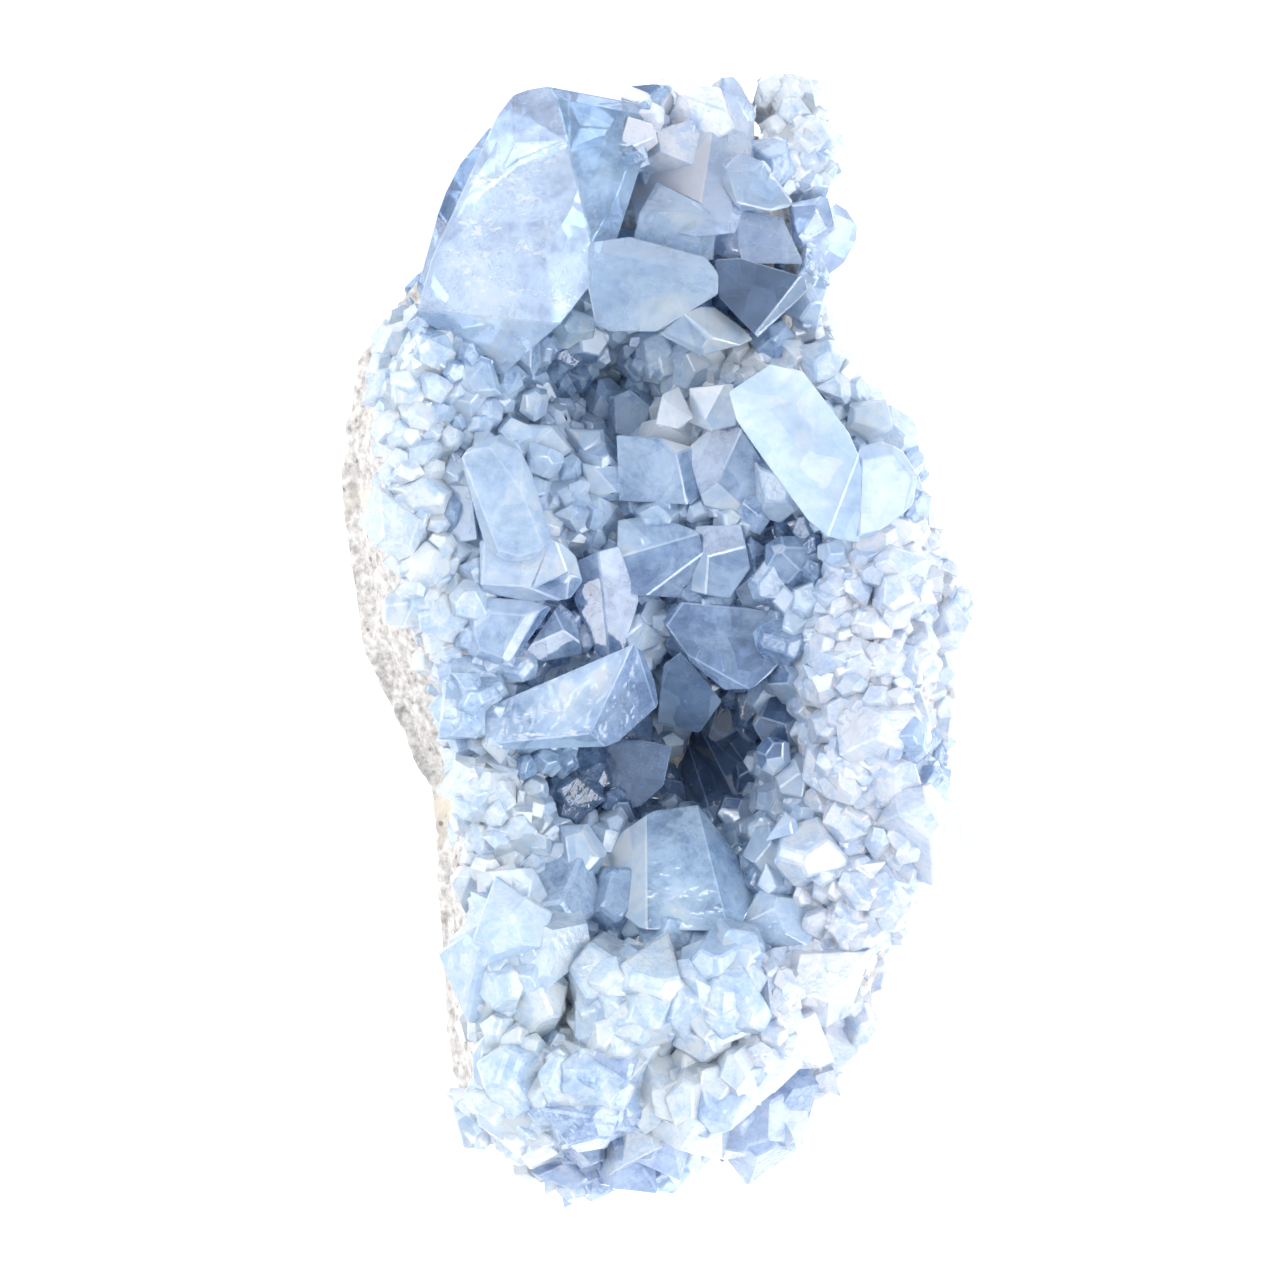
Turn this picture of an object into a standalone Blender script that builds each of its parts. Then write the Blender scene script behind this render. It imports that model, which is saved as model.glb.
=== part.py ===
"""A celestite cluster: half of a geode that lies on its back, its crystals facing up.

The tables below are in millimetres, with X across the specimen, Y along it and Z up from the surface
that it rests on. The scene is in metres, and the finished solids are moved together, so that the origin
is at the bottom centre of the whole specimen.
"""

import math
import random

import bmesh
import bpy
from mathutils import Matrix, Vector, noise

MM = 0.001

# The clear space between one solid and the next
GAP = 0.3

# The host rock: its outline seen from above, as a closed smooth curve through these points
ROCK_OUTLINE = [
    (33, 0), (32, 9), (28, 20.5), (20, 32), (17.3, 39), (18.2, 47), (12, 55.5), (-6, 54), (-18, 47.5),
    (-26.5, 39), (-33, 29), (-34.3, 17), (-32, 0), (-26.8, -12.3), (-24, -20), (-23.3, -40),
    (-22, -51), (-16, -58.5), (-6, -60.6), (7, -57.5), (19, -48), (26.7, -34), (32, -18),
]
SPOKES = 42
FRONT_RINGS = (0.16, 0.32, 0.47, 0.60, 0.71, 0.80, 0.88, 0.95, 1.0)
BACK_RINGS = (0.98, 0.92, 0.82, 0.70, 0.57, 0.43)
REST_SPOT_RING = 0.30

# Heights of the rock's front, before crystals: each landform is (x, y, reach in x, reach in y, rise)
EDGE_HEIGHT = 19.0
EDGE_WIDTH = 8.0
PLATEAU_HEIGHT = 27.0
LANDFORMS = {
    "left wall": (-27, 12, 8, 30, 3.0),
    "right bank": (25, -6, 9, 32, 6.0),
    "foot": (-4, -44, 18, 12, 8.0),
    "long trough": (1, -6, 15, 34, -6.0),
    "main hollow": (5.5, -13, 9, 7.5, -15.0),
    "upper hollow": (-6, 27, 9, 6, -12.0),
    "head": (-6, 44, 22, 10, -6.0),
}
ROCK_LUMP_HEIGHT = 1.5
ROCK_LUMP_WIDTH = 9.0
ROCK_GRAIN_HEIGHT = 0.7
ROCK_GRAIN_WIDTH = 3.5
FRONT_SEED = 7

# The rock's back: a bowl that is part round and part parabolic, with stronger lumps than the front
BOWL_ROUNDNESS = 0.55
BACK_LUMP_SHARE = 1.5
BACK_LUMP_RISE = 1.2
BACK_LEAST_RELIEF = 0.1
BACK_FADE = 0.25
BACK_SEED = 40

# The crust's own outline: inside the rock on the left, where the rock shows, and near its edge elsewhere
CRUST_OUTLINE = [
    (31.8, 4), (31.3, 9), (27, 20), (19.5, 31), (14, 38), (2, 41), (-10, 40), (-20, 37.5), (-27.5, 34),
    (-30.3, 29), (-28.2, 17), (-27.6, 8.4), (-24.5, 1), (-22.3, -7), (-21.6, -14), (-20.6, -24),
    (-19.6, -35), (-20, -46), (-20, -52), (-14.5, -57), (-6, -58), (4, -56.5), (11, -53), (15.5, -46),
    (18.5, -38.5), (22, -32), (25, -26), (28.3, -19), (29, -13), (28.5, -8), (27.2, -4), (29, -0.5),
]
CRUST_SPOKES = 40
CRUST_RINGS = (0.25, 0.48, 0.68, 0.86, 1.0)
CRUST_THICKNESS = 2.2
CRUST_EDGE_THICKNESS = 1.8
CRUST_EDGE_SHARE = 1 / 6
CRUST_UNEVENNESS = 0.6
CRUST_LUMP_WIDTH = 4.0
CRUST_SEED = 3

# Crystal form: angles in degrees between the growth axis or the broad axis and the face normals
PRISM_ANGLE = 38.0
WEDGE_ANGLE = 38.0
ROOF_ANGLE = 55.0
UNDERCUT = 10.0
ROOT_DEPTH = 3.0
SKIRT_DEPTH = 5.0
SIDE_FACE_OFFSET = (0.05, 0.45)
SIDE_FACE_TILT = (16.0, 34.0)
CHAMFER_SPREAD = (0.3, 1.4)
CHAMFER_SLOPE = (0.7, 1.5)
AXIS_WANDER = 0.45
LEAST_AXIS_RISE = 0.35
FLAT_ANGLE = 0.5


# Crystals drawn by hand. An outline is the crystal seen from above. A face is three of its corners, or
# its height at the middle, its tilt in degrees and the compass direction that it leans toward (0 is +X).
CROWN_CRYSTALS = {
    "great block": {
        "outline": [(-6, 59), (1.1, 57.9), (2.1, 56.4), (1.7, 54.7), (-4, 43), (-8, 33.5), (-15.3, 27.5),
                    (-25.8, 35), (-24.3, 40.9), (-17.1, 56.6), (-15.3, 58.9), (-13.6, 59.5), (-10.4, 59.6)],
        "faces": [((-10.6, 59, 34), (-6.5, 41.5, 37), (-25.8, 35, 30)),
                  ((-10.6, 59, 34), (-6.5, 41.5, 37), (2.1, 56.4, 27)),
                  ((-25, 35.5, 30.3), (-7.5, 33.5, 37.2), (-15.3, 27.5, 29)),
                  ((-10.4, 58.4, 34.1), (1.4, 56.6, 27.4), (-6, 59.5, 29.8))],
        "root": 14, "undercut": 17},
    "behind block": {
        "outline": [(-18, 56), (-21.5, 51.5), (-23.7, 46), (-25.8, 39), (-22, 36), (-12, 50)],
        "faces": [(27, 10, 150)], "root": 13, "undercut": 14},
    "front block": {
        "outline": [(-6.4, 34), (-4.9, 33), (0.3, 33), (6.9, 37), (7, 38.9), (5.6, 41.1), (-2.7, 43.3),
                    (-6.9, 42.6), (-7.2, 38)],
        "faces": [((-6.5, 41.4, 39.5), (6.5, 39.7, 37.5), (-2, 33, 37)),
                  ((-6.5, 41.4, 39.5), (6.5, 39.7, 37.5), (-2.7, 43.6, 36))],
        "root": 18, "undercut": 12},
    "dark block": {
        "outline": [(6.6, 40.9), (7, 36.7), (8.7, 35), (11.2, 32.4), (15.8, 36.7), (16.7, 37.8),
                    (16.5, 38.9), (9.3, 41.1)],
        "faces": [((6.6, 40.9, 35), (16.2, 39.2, 33.5), (10.9, 32.8, 33)),
                  ((16, 39.2, 33.5), (10.9, 32.8, 33), (16.7, 37.8, 32.2))],
        "root": 17, "undercut": 16},
    "lilac point": {
        "outline": [(7.5, 62.9), (4.9, 59.6), (-1, 55.3), (-3, 50), (-2, 45), (9, 44), (11.1, 50),
                    (11.1, 58), (9.5, 60.9)],
        "faces": [((7.5, 62.9, 22), (5.5, 50, 30), (0.5, 50, 27)),
                  ((7.5, 62.9, 22), (5.5, 50, 30), (8.2, 50, 30)),
                  ((7.5, 62.9, 22), (8.2, 50, 30), (11.1, 50, 27.5))],
        "root": 12, "undercut": 24},
    "blue facet": {
        "outline": [(7.1, 52.5), (9.8, 53), (12, 51.8), (13.8, 49.6), (15.3, 47.6), (14.7, 46.6), (12, 46),
                    (9.2, 46), (7, 49)],
        "faces": [((8.7, 52.9, 30.5), (15.3, 47.6, 29.5), (9.8, 46, 32.5))],
        "root": 16, "chamfer": 0.5, "undercut": 14},
    "collar left": {
        "outline": [(-2.7, 42.5), (-1.6, 46), (0, 49.8), (5, 47.2), (6.7, 45.2), (6.5, 41), (2, 40)],
        "faces": [((-1.6, 46, 33), (6.2, 46, 33), (2, 41, 32)),
                  ((-1.6, 46, 33), (6.2, 46, 33), (0, 49.8, 29))],
        "root": 16, "undercut": 8},
    "collar right": {
        "outline": [(6.2, 46), (9, 46.6), (14, 45.8), (16.2, 41), (15.8, 38.8), (9.5, 40.5), (6.3, 41)],
        "faces": [((8.9, 46, 31), (9.4, 41.5, 32.5), (6.3, 43.5, 30)),
                  ((8.9, 46, 31), (9.4, 41.5, 32.5), (16, 41, 29))],
        "root": 16, "undercut": 8},
    "sugary tip": {
        "outline": [(10.6, 61.6), (12.4, 62.8), (15.8, 62.9), (18.6, 61.3), (19.9, 58), (19.5, 53), (15, 52),
                    (10.4, 54)],
        "faces": [(22.5, 8, 70)], "root": 12, "chamfer": 1.2, "undercut": 26},
    "behind tip": {
        "outline": [(-3.4, 57), (-2.6, 60.5), (0, 60.7), (1.9, 60.3), (2.4, 57.5), (0, 54)],
        "faces": [(24.5, 12, 60)], "root": 13, "undercut": 20},
    "hazy upper": {
        "outline": [(11.5, 57.5), (16, 58.3), (19.9, 55.6), (20.1, 50), (15, 48), (11.8, 50)],
        "faces": [(26, 14, 20)], "root": 14, "chamfer": 0.9, "undercut": 18},
    "hazy lower": {
        "outline": [(14.5, 47.5), (19.4, 48.6), (20.2, 44.5), (17, 42), (14.8, 43)],
        "faces": [(26.5, 15, -20)], "root": 14, "chamfer": 0.7, "undercut": 18},
    "right point": {
        "outline": [(18.3, 48.9), (21.3, 47.1), (23.7, 43.3), (21, 41.1), (19.5, 38.5), (17, 38.3), (16, 44)],
        "faces": [((17.5, 43.5, 26), (23.7, 43.3, 19.5), (19, 48.5, 21)),
                  ((17.5, 43.5, 26), (23.7, 43.3, 19.5), (19, 38.5, 22))],
        "root": 13, "undercut": 28},
    "right lower": {
        "outline": [(16.4, 43), (18.6, 42.5), (19.6, 38.5), (17.2, 36.4), (15.2, 38.5)],
        "faces": [(28, 14, -30)], "root": 14, "chamfer": 0.5, "undercut": 14},
}
CRUST_CRYSTALS = {
    "lilac seat": {
        "outline": [(0.5, 32.9), (4.9, 36.3), (6.7, 36.5), (9.8, 34), (11, 32.3), (4.9, 30.5)],
        "faces": [(33.5, 10, -80)], "chamfer": 0.5},
    "shield": {
        "outline": [(8, 26.5), (8.8, 23.4), (11.6, 19.4), (16.6, 12.5), (19.8, 10.5), (22.3, 10.2),
                    (22.5, 18), (21.1, 22.1), (18.9, 25.1), (16.1, 28.8), (12.5, 29.6)],
        "faces": [((8.8, 23.4, 37.5), (16.6, 12.5, 38.5), (21.1, 22.1, 36.5)),
                  ((21.8, 18.4, 36.9), (19.5, 12.5, 38.1), (23, 13, 35))],
        "undercut": 24},
    "shield mate": {
        "outline": [(22, 20.8), (24.5, 21.5), (27.2, 20.4), (28.7, 17.7), (28.3, 14.4), (23.4, 10.6),
                    (20.7, 11.1)],
        "faces": [((22, 21, 35.5), (20.7, 11.1, 36.5), (28.5, 16, 33))], "chamfer": 0.6},
    "left column": {
        "outline": [(-21, 19.2), (-20.2, 20.5), (-18.1, 21.9), (-16.5, 22.1), (-14.9, 21), (-13.1, 17.8),
                    (-10.8, 10.9), (-13.3, 8.2), (-16, 8), (-18.5, 9.6)],
        "faces": [((-21, 17, 34), (-13.5, 16.5, 35.5), (-16, 8.2, 35.5)),
                  ((-17.8, 20.4, 34.6), (-12.4, 13.9, 35.5), (-14.4, 20.6, 32.5))],
        "chamfer": 0.4},
    "left dark": {
        "outline": [(-26.5, 14.6), (-25, 17.1), (-21, 19.6), (-19.6, 14.8), (-19.1, 10.6), (-22.9, 10)],
        "faces": [((-26.5, 14.6, 29.5), (-21, 19.6, 31.5), (-19.1, 10.6, 32.5))]},
    "left shoulder": {
        "outline": [(-19, 10.5), (-10.8, 11), (-8.2, 9), (-7.6, 6), (-9, 4.2), (-14, 3.6), (-18.8, 4.6)],
        "faces": [(34, 6, -60)], "chamfer": 0.8},
    "left lower shoulder": {
        "outline": [(-21.3, 6), (-14, 4.4), (-10.4, 4), (-14.7, -2), (-16.9, -3.1), (-20.2, -2), (-22, 2)],
        "faces": [(32.5, 8, -100)], "chamfer": 0.8},
    "grey slope": {
        "outline": [(-10.2, 3.8), (-14.5, -2.3), (-12, -2.6), (-7.8, -1.9), (-8.6, 2.5)],
        "faces": [(29, 25, -40)]},
    "blue prism": {
        "outline": [(-10.4, 29.6), (-8.3, 32.4), (-3.8, 32.8), (1.5, 31), (-1, 28), (-1.6, 24.7),
                    (-3.3, 23.4)],
        "faces": [((-10.4, 29.6, 25), (-3.3, 23.4, 26), (-2, 31.5, 32))], "undercut": 35},
    "pale triangle": {
        "outline": [(1, 26.5), (2.7, 27.4), (4.3, 23.9), (2.7, 22.6), (0.1, 23.1)],
        "faces": [(32, 12, 40)]},
    "upper blue": {
        "outline": [(3.8, 27.2), (8.7, 27.5), (9, 23), (6, 22.4), (3.9, 23.4)],
        "faces": [(31.5, 15, -120)]},
    "shelf left": {
        "outline": [(-4.1, 22.1), (0.5, 21.8), (5, 20.5), (7, 17), (4, 14.5), (-3.8, 14.9)],
        "faces": [(28, 10, -150)]},
    "shelf right": {
        "outline": [(3.5, 20.5), (6, 22.8), (9.2, 23), (14.3, 15.5), (11, 13), (5.5, 14.3)],
        "faces": [(29.5, 14, -90)]},
    "shelf front": {
        "outline": [(-4, 12.8), (0, 13.4), (4.8, 11.6), (6, 6.5), (3, 4.3), (-3.5, 4.8)],
        "faces": [(28.5, 12, -70)]},
    "shelf corner": {
        "outline": [(4.6, 12.2), (9.5, 12.4), (10.5, 7.5), (8.2, 4.2), (4, 5)],
        "faces": [(29, 16, 200)]},
    "pale round": {
        "outline": [(12, 10), (13.6, 11.1), (15.8, 11.3), (21.3, 10.4), (22.3, 6.2), (15.8, 4.9), (12, 6.2)],
        "faces": [(31.5, 12, -60)], "chamfer": 0.8},
    "long blue": {
        "outline": [(-8.2, 8.4), (-3.8, 10), (-1.6, 4), (-3.4, -2), (-6.2, -2), (-8.7, 4)],
        "faces": [((-6, 9, 30.5), (-4.9, -2, 27.5), (-9, 4, 27.5)),
                  ((-6, 9, 30.5), (-4.9, -2, 27.5), (-1.5, 5, 27.5))]},
    "lying prism": {
        "outline": [(-18.3, -5.2), (-10.4, -2.5), (-2.4, -0.8), (-1.4, -1), (0.1, -4.6), (0.5, -6.9),
                    (0.1, -9.9), (-3.9, -11.4), (-10.4, -14.2), (-14.7, -14.2), (-18.3, -11.8)],
        "faces": [((-18.3, -5.2, 30), (-3.3, -2.8, 32), (-6.9, -10.4, 33.5)),
                  ((-3.3, -2.8, 32), (-6.9, -10.4, 33.5), (0.5, -6.9, 28.5)),
                  ((-18.3, -11.6, 31.8), (-6.9, -10.4, 33.5), (-10.4, -14.2, 29.5)),
                  ((-1.6, -1, 30.6), (0.2, -9.5, 29.2), (1.2, -6, 26))],
        "root": 19, "undercut": 25},
    "prism seat": {
        "outline": [(-23, -4.6), (-18.9, -4.5), (-18.1, -6.2), (-18.2, -11), (-23.4, -11.2)],
        "faces": [(32.5, 8, 180)], "chamfer": 0.5},
    "hanging wedge": {
        "outline": [(0.4, 2), (2.7, 4), (9.5, 3.8), (14.3, 2.2), (15.3, 0), (13, -4.1), (8, -7.1),
                    (7, -6.6), (1.7, -1.2)],
        "faces": [((0.4, 2, 27.5), (14.3, 2.2, 28), (7.5, -7, 30))],
        "root": 16, "undercut": 32, "chamfer": 0.4},
    "inner cube": {
        "outline": [(-7, -18.3), (-7, -15.6), (-6.6, -12.6), (-3.9, -11.2), (-1.2, -11.2), (2, -11.9),
                    (1.1, -16.2), (-1.4, -18.5), (-4.1, -19)],
        "faces": [((-7, -15, 22.5), (2, -12, 25), (-3, -19, 23.5))]},
    "hollow wall": {
        "outline": [(0.3, -9.5), (1, -3), (3, -1.5), (7.5, -7), (5, -10.5)],
        "faces": [((1, -3, 25), (7.5, -7, 24), (2, -10.5, 19))]},
    "double tip": {
        "outline": [(-5.3, -24.5), (-3.5, -21.2), (0, -18.9), (4.9, -18.3), (8.7, -23.2), (10.9, -26.8),
                    (10.9, -28.7), (9.3, -31.5), (-1.6, -31.5), (-5.5, -28.7)],
        "faces": [((0, -19, 27), (4.5, -18.8, 27), (2, -30, 34)),
                  ((-1.5, -20, 27), (-1, -28, 32.5), (-5.3, -26, 27)),
                  ((5, -19, 27), (7.5, -28, 32.5), (10.9, -28, 28.5))]},
    "clear bead": {
        "outline": [(11.1, -12), (12, -10.8), (13.4, -10.6), (14.9, -11.5), (15.1, -14), (13, -15.2),
                    (11.3, -14.2)],
        "faces": [(29, 10, 120)], "chamfer": 0.8},
    "white face": {
        "outline": [(12, -22.1), (14.2, -18.9), (15.5, -19.9), (15.9, -21.2)],
        "faces": [(33, 10, 30)]},
    "pale point": {
        "outline": [(15, -0.3), (16.4, 1.3), (20.5, 1.6), (20.5, -2), (16.9, -2.1)],
        "faces": [((15, -0.3, 31.5), (20.5, -0.2, 34), (20.5, -2, 32.5)),
                  ((15, -0.3, 31.5), (20.5, -0.2, 34), (20.5, 1.6, 32.5))]},
    "right lump": {
        "outline": [(16.7, -3.3), (21, -3.6), (21.5, -6.5), (18, -7.2), (16, -5.2)],
        "faces": [(33.5, 8, 20)], "chamfer": 0.8},
    "left wedge": {
        "outline": [(-21.8, -13.4), (-18, -13.4), (-14.7, -16.1), (-14.2, -17.4), (-17.4, -20.7),
                    (-21.3, -19.4)],
        "faces": [(32.5, 10, -10)], "chamfer": 0.6},
    "dark pair upper": {
        "outline": [(-14.3, -15.7), (-12, -14.4), (-10.2, -14.5), (-10, -16.5), (-14, -17.9)],
        "faces": [(26, 20, -60)]},
    "dark pair lower": {
        "outline": [(-14.2, -18.2), (-10.4, -17.4), (-9.6, -19.5), (-12, -20.3), (-14, -19.8)],
        "faces": [(26, 15, -100)]},
    "left lump": {
        "outline": [(-17.2, -20.3), (-14, -19.3), (-12.5, -21), (-13.5, -24.3), (-17.5, -24.6)],
        "faces": [(32.5, 6, -30)], "chamfer": 0.7},
    "middle blue": {
        "outline": [(-10.4, -20.3), (-7, -20.2), (-5, -23.2), (-6, -26), (-10.6, -25.2)],
        "faces": [(29.5, 15, 60)], "chamfer": 0.6},
    "left field": {
        "outline": [(-19.5, -25.5), (-13, -24.8), (-11, -28), (-12, -31.8), (-19.3, -32.5)],
        "faces": [(34.5, 7, 190)], "chamfer": 0.9},
    "foot left": {
        "outline": [(-19.3, -33), (-12, -31.6), (-9.5, -37), (-11, -43.5), (-19.4, -44)],
        "faces": [(38, 8, 200)], "chamfer": 0.9},
    "foot corner": {
        "outline": [(-19.9, -45), (-17.6, -42), (-9, -44), (-8, -54), (-12.9, -57.2), (-19.2, -53)],
        "faces": [(36.5, 10, -150)], "chamfer": 1.2},
    "foot broad": {
        "outline": [(-10.5, -45), (-1, -46), (0, -50.5), (-1.5, -52.5), (-5.8, -54.3), (-9.5, -55.5)],
        "faces": [(38.5, 9, -90)], "chamfer": 0.8},
    "foot middle": {
        "outline": [(-8.4, -35.5), (-1, -33.6), (3, -37), (2.7, -43.9), (-5, -46), (-8.8, -43)],
        "faces": [(41, 7, 120)], "chamfer": 0.9},
    "foot right": {
        "outline": [(2.4, -33), (8, -31.2), (12, -33), (12.5, -42), (6, -44.5), (2.3, -40)],
        "faces": [(40, 8, 30)], "chamfer": 0.9},
    "foot tip": {
        "outline": [(-0.8, -45.5), (6, -44), (13, -42), (11.5, -47), (5.9, -54.2), (0, -51.8)],
        "faces": [(38.5, 10, -60)], "chamfer": 0.8},
    "left top outer": {
        "outline": [(-30.5, 28.6), (-26.7, 29.8), (-23.4, 28), (-21.8, 25.3), (-24.5, 23.7), (-28.8, 24.7)],
        "faces": [(30, 14, 160)], "chamfer": 0.7},
    "left top inner": {
        "outline": [(-21.3, 31.3), (-17.4, 30.2), (-16.2, 26.4), (-19.6, 25.6), (-22.2, 28)],
        "faces": [(31, 10, 30)], "chamfer": 0.6},
    "left top lower": {
        "outline": [(-27.8, 23.9), (-23.4, 24.4), (-20.2, 21.5), (-23.2, 18.2), (-27.8, 17.7), (-29, 21.5)],
        "faces": [(31, 12, 200)], "chamfer": 0.7},
    "grey bead": {
        "outline": [(-14.8, 24.6), (-14.4, 26.8), (-12.6, 27.6), (-11.2, 26.4), (-11.6, 24.2), (-13.2, 23.4)],
        "faces": [(28, 10, 90)], "chamfer": 0.7},
    "grey bead low": {
        "outline": [(-12.2, 24.6), (-10.8, 26), (-9.4, 25.4), (-9.3, 23.6), (-11, 22.9)],
        "faces": [(26, 10, 40)], "chamfer": 0.6},
    "clear shelf": {
        "outline": [(-16.9, 23.5), (-10.4, 23.3), (-8.7, 20.4), (-12.3, 17.5), (-14.9, 19.8)],
        "faces": [(28, 14, -40)], "chamfer": 0.5},
    "clear shelf low": {
        "outline": [(-12.2, 17.2), (-7.6, 17.6), (-5.8, 14.9), (-9.8, 12.6)],
        "faces": [(28, 18, 30)], "chamfer": 0.3},
    "clear shelf inner": {
        "outline": [(-10.4, 22.9), (-5.5, 22.8), (-4.7, 19.8), (-8.9, 19.1)],
        "faces": [(25.5, 16, 80)], "chamfer": 0.4},
    "clear shelf end": {
        "outline": [(-8, 19), (-3.9, 19), (-3.5, 14.9), (-7.3, 14.5)],
        "faces": [(27, 14, 170)], "chamfer": 0.4},
    "right top": {
        "outline": [(14.7, 31.3), (19.1, 33.3), (21.6, 30.2), (20.7, 25.6), (17.2, 27.6)],
        "faces": [(29, 14, 40)], "chamfer": 0.7},
    "right top outer": {
        "outline": [(21.2, 25.9), (25.4, 26.2), (26.2, 22.6), (23.6, 21.2), (20.8, 22)],
        "faces": [(29.5, 12, 10)], "chamfer": 0.8},
    "right pale": {
        "outline": [(22, 9.8), (26.7, 10.4), (29.8, 6.2), (26.9, 1.6), (22.2, 3.8)],
        "faces": [(34, 12, 20)], "chamfer": 1.0},
    "foot side": {
        "outline": [(11.5, -33.5), (15.5, -37), (15.3, -43.5), (11.5, -46.3), (10.5, -40)],
        "faces": [(37, 12, 0)], "chamfer": 0.7},
}

# Crystals that lean out over the lower end, as (compass direction, share of the rock's outline)
FRINGE = [(-116, 0.94), (-110, 0.97), (-104.5, 0.93), (-99, 0.975), (-94, 0.94), (-89, 0.97), (-84, 0.93),
          (-79, 0.965), (-74, 0.94), (-69, 0.97), (-65, 0.95)]
FRINGE_WIDTH = (4.6, 6.6)
FRINGE_LENGTH = 0.7
FRINGE_LEAN = 52.0
FRINGE_LEAN_SPREAD = (-12, 8)
FRINGE_TURN = 25.0
FRINGE_SEAT_RISE = 1.0

# The open floor of the main hollow, which stays bare: x, y and reach
BARE_FLOOR = (6.2, -13.5, 5.2)

# The rest of the crust: crystals of one size class in each patch, scattered by a seeded rule.
# A patch is (x, y, reach in x, reach in y), the spacing, the width and the outward lean in degrees.
SCATTER_SEED = 11
SCATTER_TRIES = 500
SCATTER_SHARE = 0.97
SCATTER_MARGIN = 0.6
SCATTER_LENGTH = (0.65, 0.95)
BLUNT_ENDS = (0.0, 0.0, 0.12, 0.2)
FRINGE_SEED = 23
PATCHES = {
    "hollows": ((0, 5, 14, 30), 4.8, (4.6, 7.5), 0),
    "right bank": ((23, -6, 10, 36), 4.6, (5.0, 7.5), 12),
    "left rim": ((-23, 2, 8, 34), 4.2, (4.2, 6.0), 15),
    "foot": ((-2, -46, 24, 16), 4.8, (4.4, 7.0), 35),
    "head": ((4, 33, 26, 9), 4.4, (4.4, 6.5), 10),
}


def spline(points, steps=12):
    """A closed smooth curve through the points, as Catmull-Rom pieces of a few steps each."""
    curve = []
    count = len(points)
    for i in range(count):
        p0, p1, p2, p3 = (Vector(points[(i + k - 1) % count]) for k in range(4))
        for step in range(steps):
            t = step / steps
            curve.append(0.5 * (2 * p1 + (p2 - p0) * t + (2 * p0 - 5 * p1 + 4 * p2 - p3) * t ** 2
                                + (3 * p1 - p0 - 3 * p2 + p3) * t ** 3))
    return curve


class Outline:
    """The distance from the origin to a closed curve, for any direction."""

    def __init__(self, points):
        polar = sorted((math.atan2(p.y, p.x), p.length) for p in spline(points))
        first, last = polar[0], polar[-1]
        self.polar = [(last[0] - math.tau, last[1])] + polar + [(first[0] + math.tau, first[1])]

    def radius(self, angle):
        angle = math.atan2(math.sin(angle), math.cos(angle))
        for (a0, r0), (a1, r1) in zip(self.polar, self.polar[1:]):
            if a0 <= angle <= a1:
                return r0 + (r1 - r0) * (angle - a0) / max(a1 - a0, 1e-9)
        return self.polar[-1][1]

    def share(self, x, y):
        """How far out a point is: 0 at the origin, 1 on the curve."""
        return math.hypot(x, y) / self.radius(math.atan2(y, x))


ROCK = Outline(ROCK_OUTLINE)
CRUST = Outline(CRUST_OUTLINE)


def smooth(t):
    t = min(max(t, 0.0), 1.0)
    return t * t * (3 - 2 * t)


def lumps(x, y, seed):
    """Rock relief between -1 and 1: wide lumps with a finer grain on them."""
    wide = noise.noise(Vector((x, y, seed)) / ROCK_LUMP_WIDTH)
    fine = noise.noise(Vector((x, y, seed)) / ROCK_GRAIN_WIDTH)
    return ROCK_LUMP_HEIGHT * wide + ROCK_GRAIN_HEIGHT * fine


def front(x, y):
    """The height of the rock's front surface."""
    radius = ROCK.radius(math.atan2(y, x))
    inward = radius - math.hypot(x, y)
    height = PLATEAU_HEIGHT
    for cx, cy, reach_x, reach_y, rise in LANDFORMS.values():
        height += rise * math.exp(-((x - cx) / reach_x) ** 2 - ((y - cy) / reach_y) ** 2)
    return EDGE_HEIGHT + (height - EDGE_HEIGHT) * smooth(inward / EDGE_WIDTH)


def back(x, y):
    """The height of the rock's back: a flat rest spot, then a lumpy bowl that steepens to the edge."""
    t = (ROCK.share(x, y) - REST_SPOT_RING) / (1 - REST_SPOT_RING)
    t = min(max(t, 0.0), 1.0)
    bowl = BOWL_ROUNDNESS * (1 - math.sqrt(1 - t * t)) + (1 - BOWL_ROUNDNESS) * t * t
    relief = max(BACK_LUMP_RISE + lumps(x, y, BACK_SEED), BACK_LEAST_RELIEF)
    fade = smooth(t / BACK_FADE) * smooth((1 - t) / BACK_FADE)
    return EDGE_HEIGHT * bowl + BACK_LUMP_SHARE * relief * fade


def ring_points(outline, share, spokes):
    for spoke in range(spokes):
        angle = math.tau * spoke / spokes
        radius = share * outline.radius(angle)
        yield radius * math.cos(angle), radius * math.sin(angle)


def bridge(mesh, inner, outer):
    count = len(inner)
    for i in range(count):
        k = (i + 1) % count
        mesh.faces.new((inner[i], outer[i], outer[k], inner[k]))


def fan(mesh, centre, ring):
    count = len(ring)
    for i in range(count):
        mesh.faces.new((centre, ring[i], ring[(i + 1) % count]))


def rock_front():
    """The rock's front as an open surface, and the ring of points along its edge."""
    mesh = bmesh.new()
    middle = mesh.verts.new((0, 0, front(0, 0) + lumps(0, 0, FRONT_SEED)))
    rings = []
    for share in FRONT_RINGS:
        relief = 1.0 if share < 1 else 0.0
        rings.append([mesh.verts.new((x, y, front(x, y) + relief * lumps(x, y, FRONT_SEED)))
                      for x, y in ring_points(ROCK, share, SPOKES)])
    fan(mesh, middle, rings[0])
    for inner, outer in zip(rings, rings[1:]):
        bridge(mesh, inner, outer)
    return mesh, rings[-1]


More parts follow.
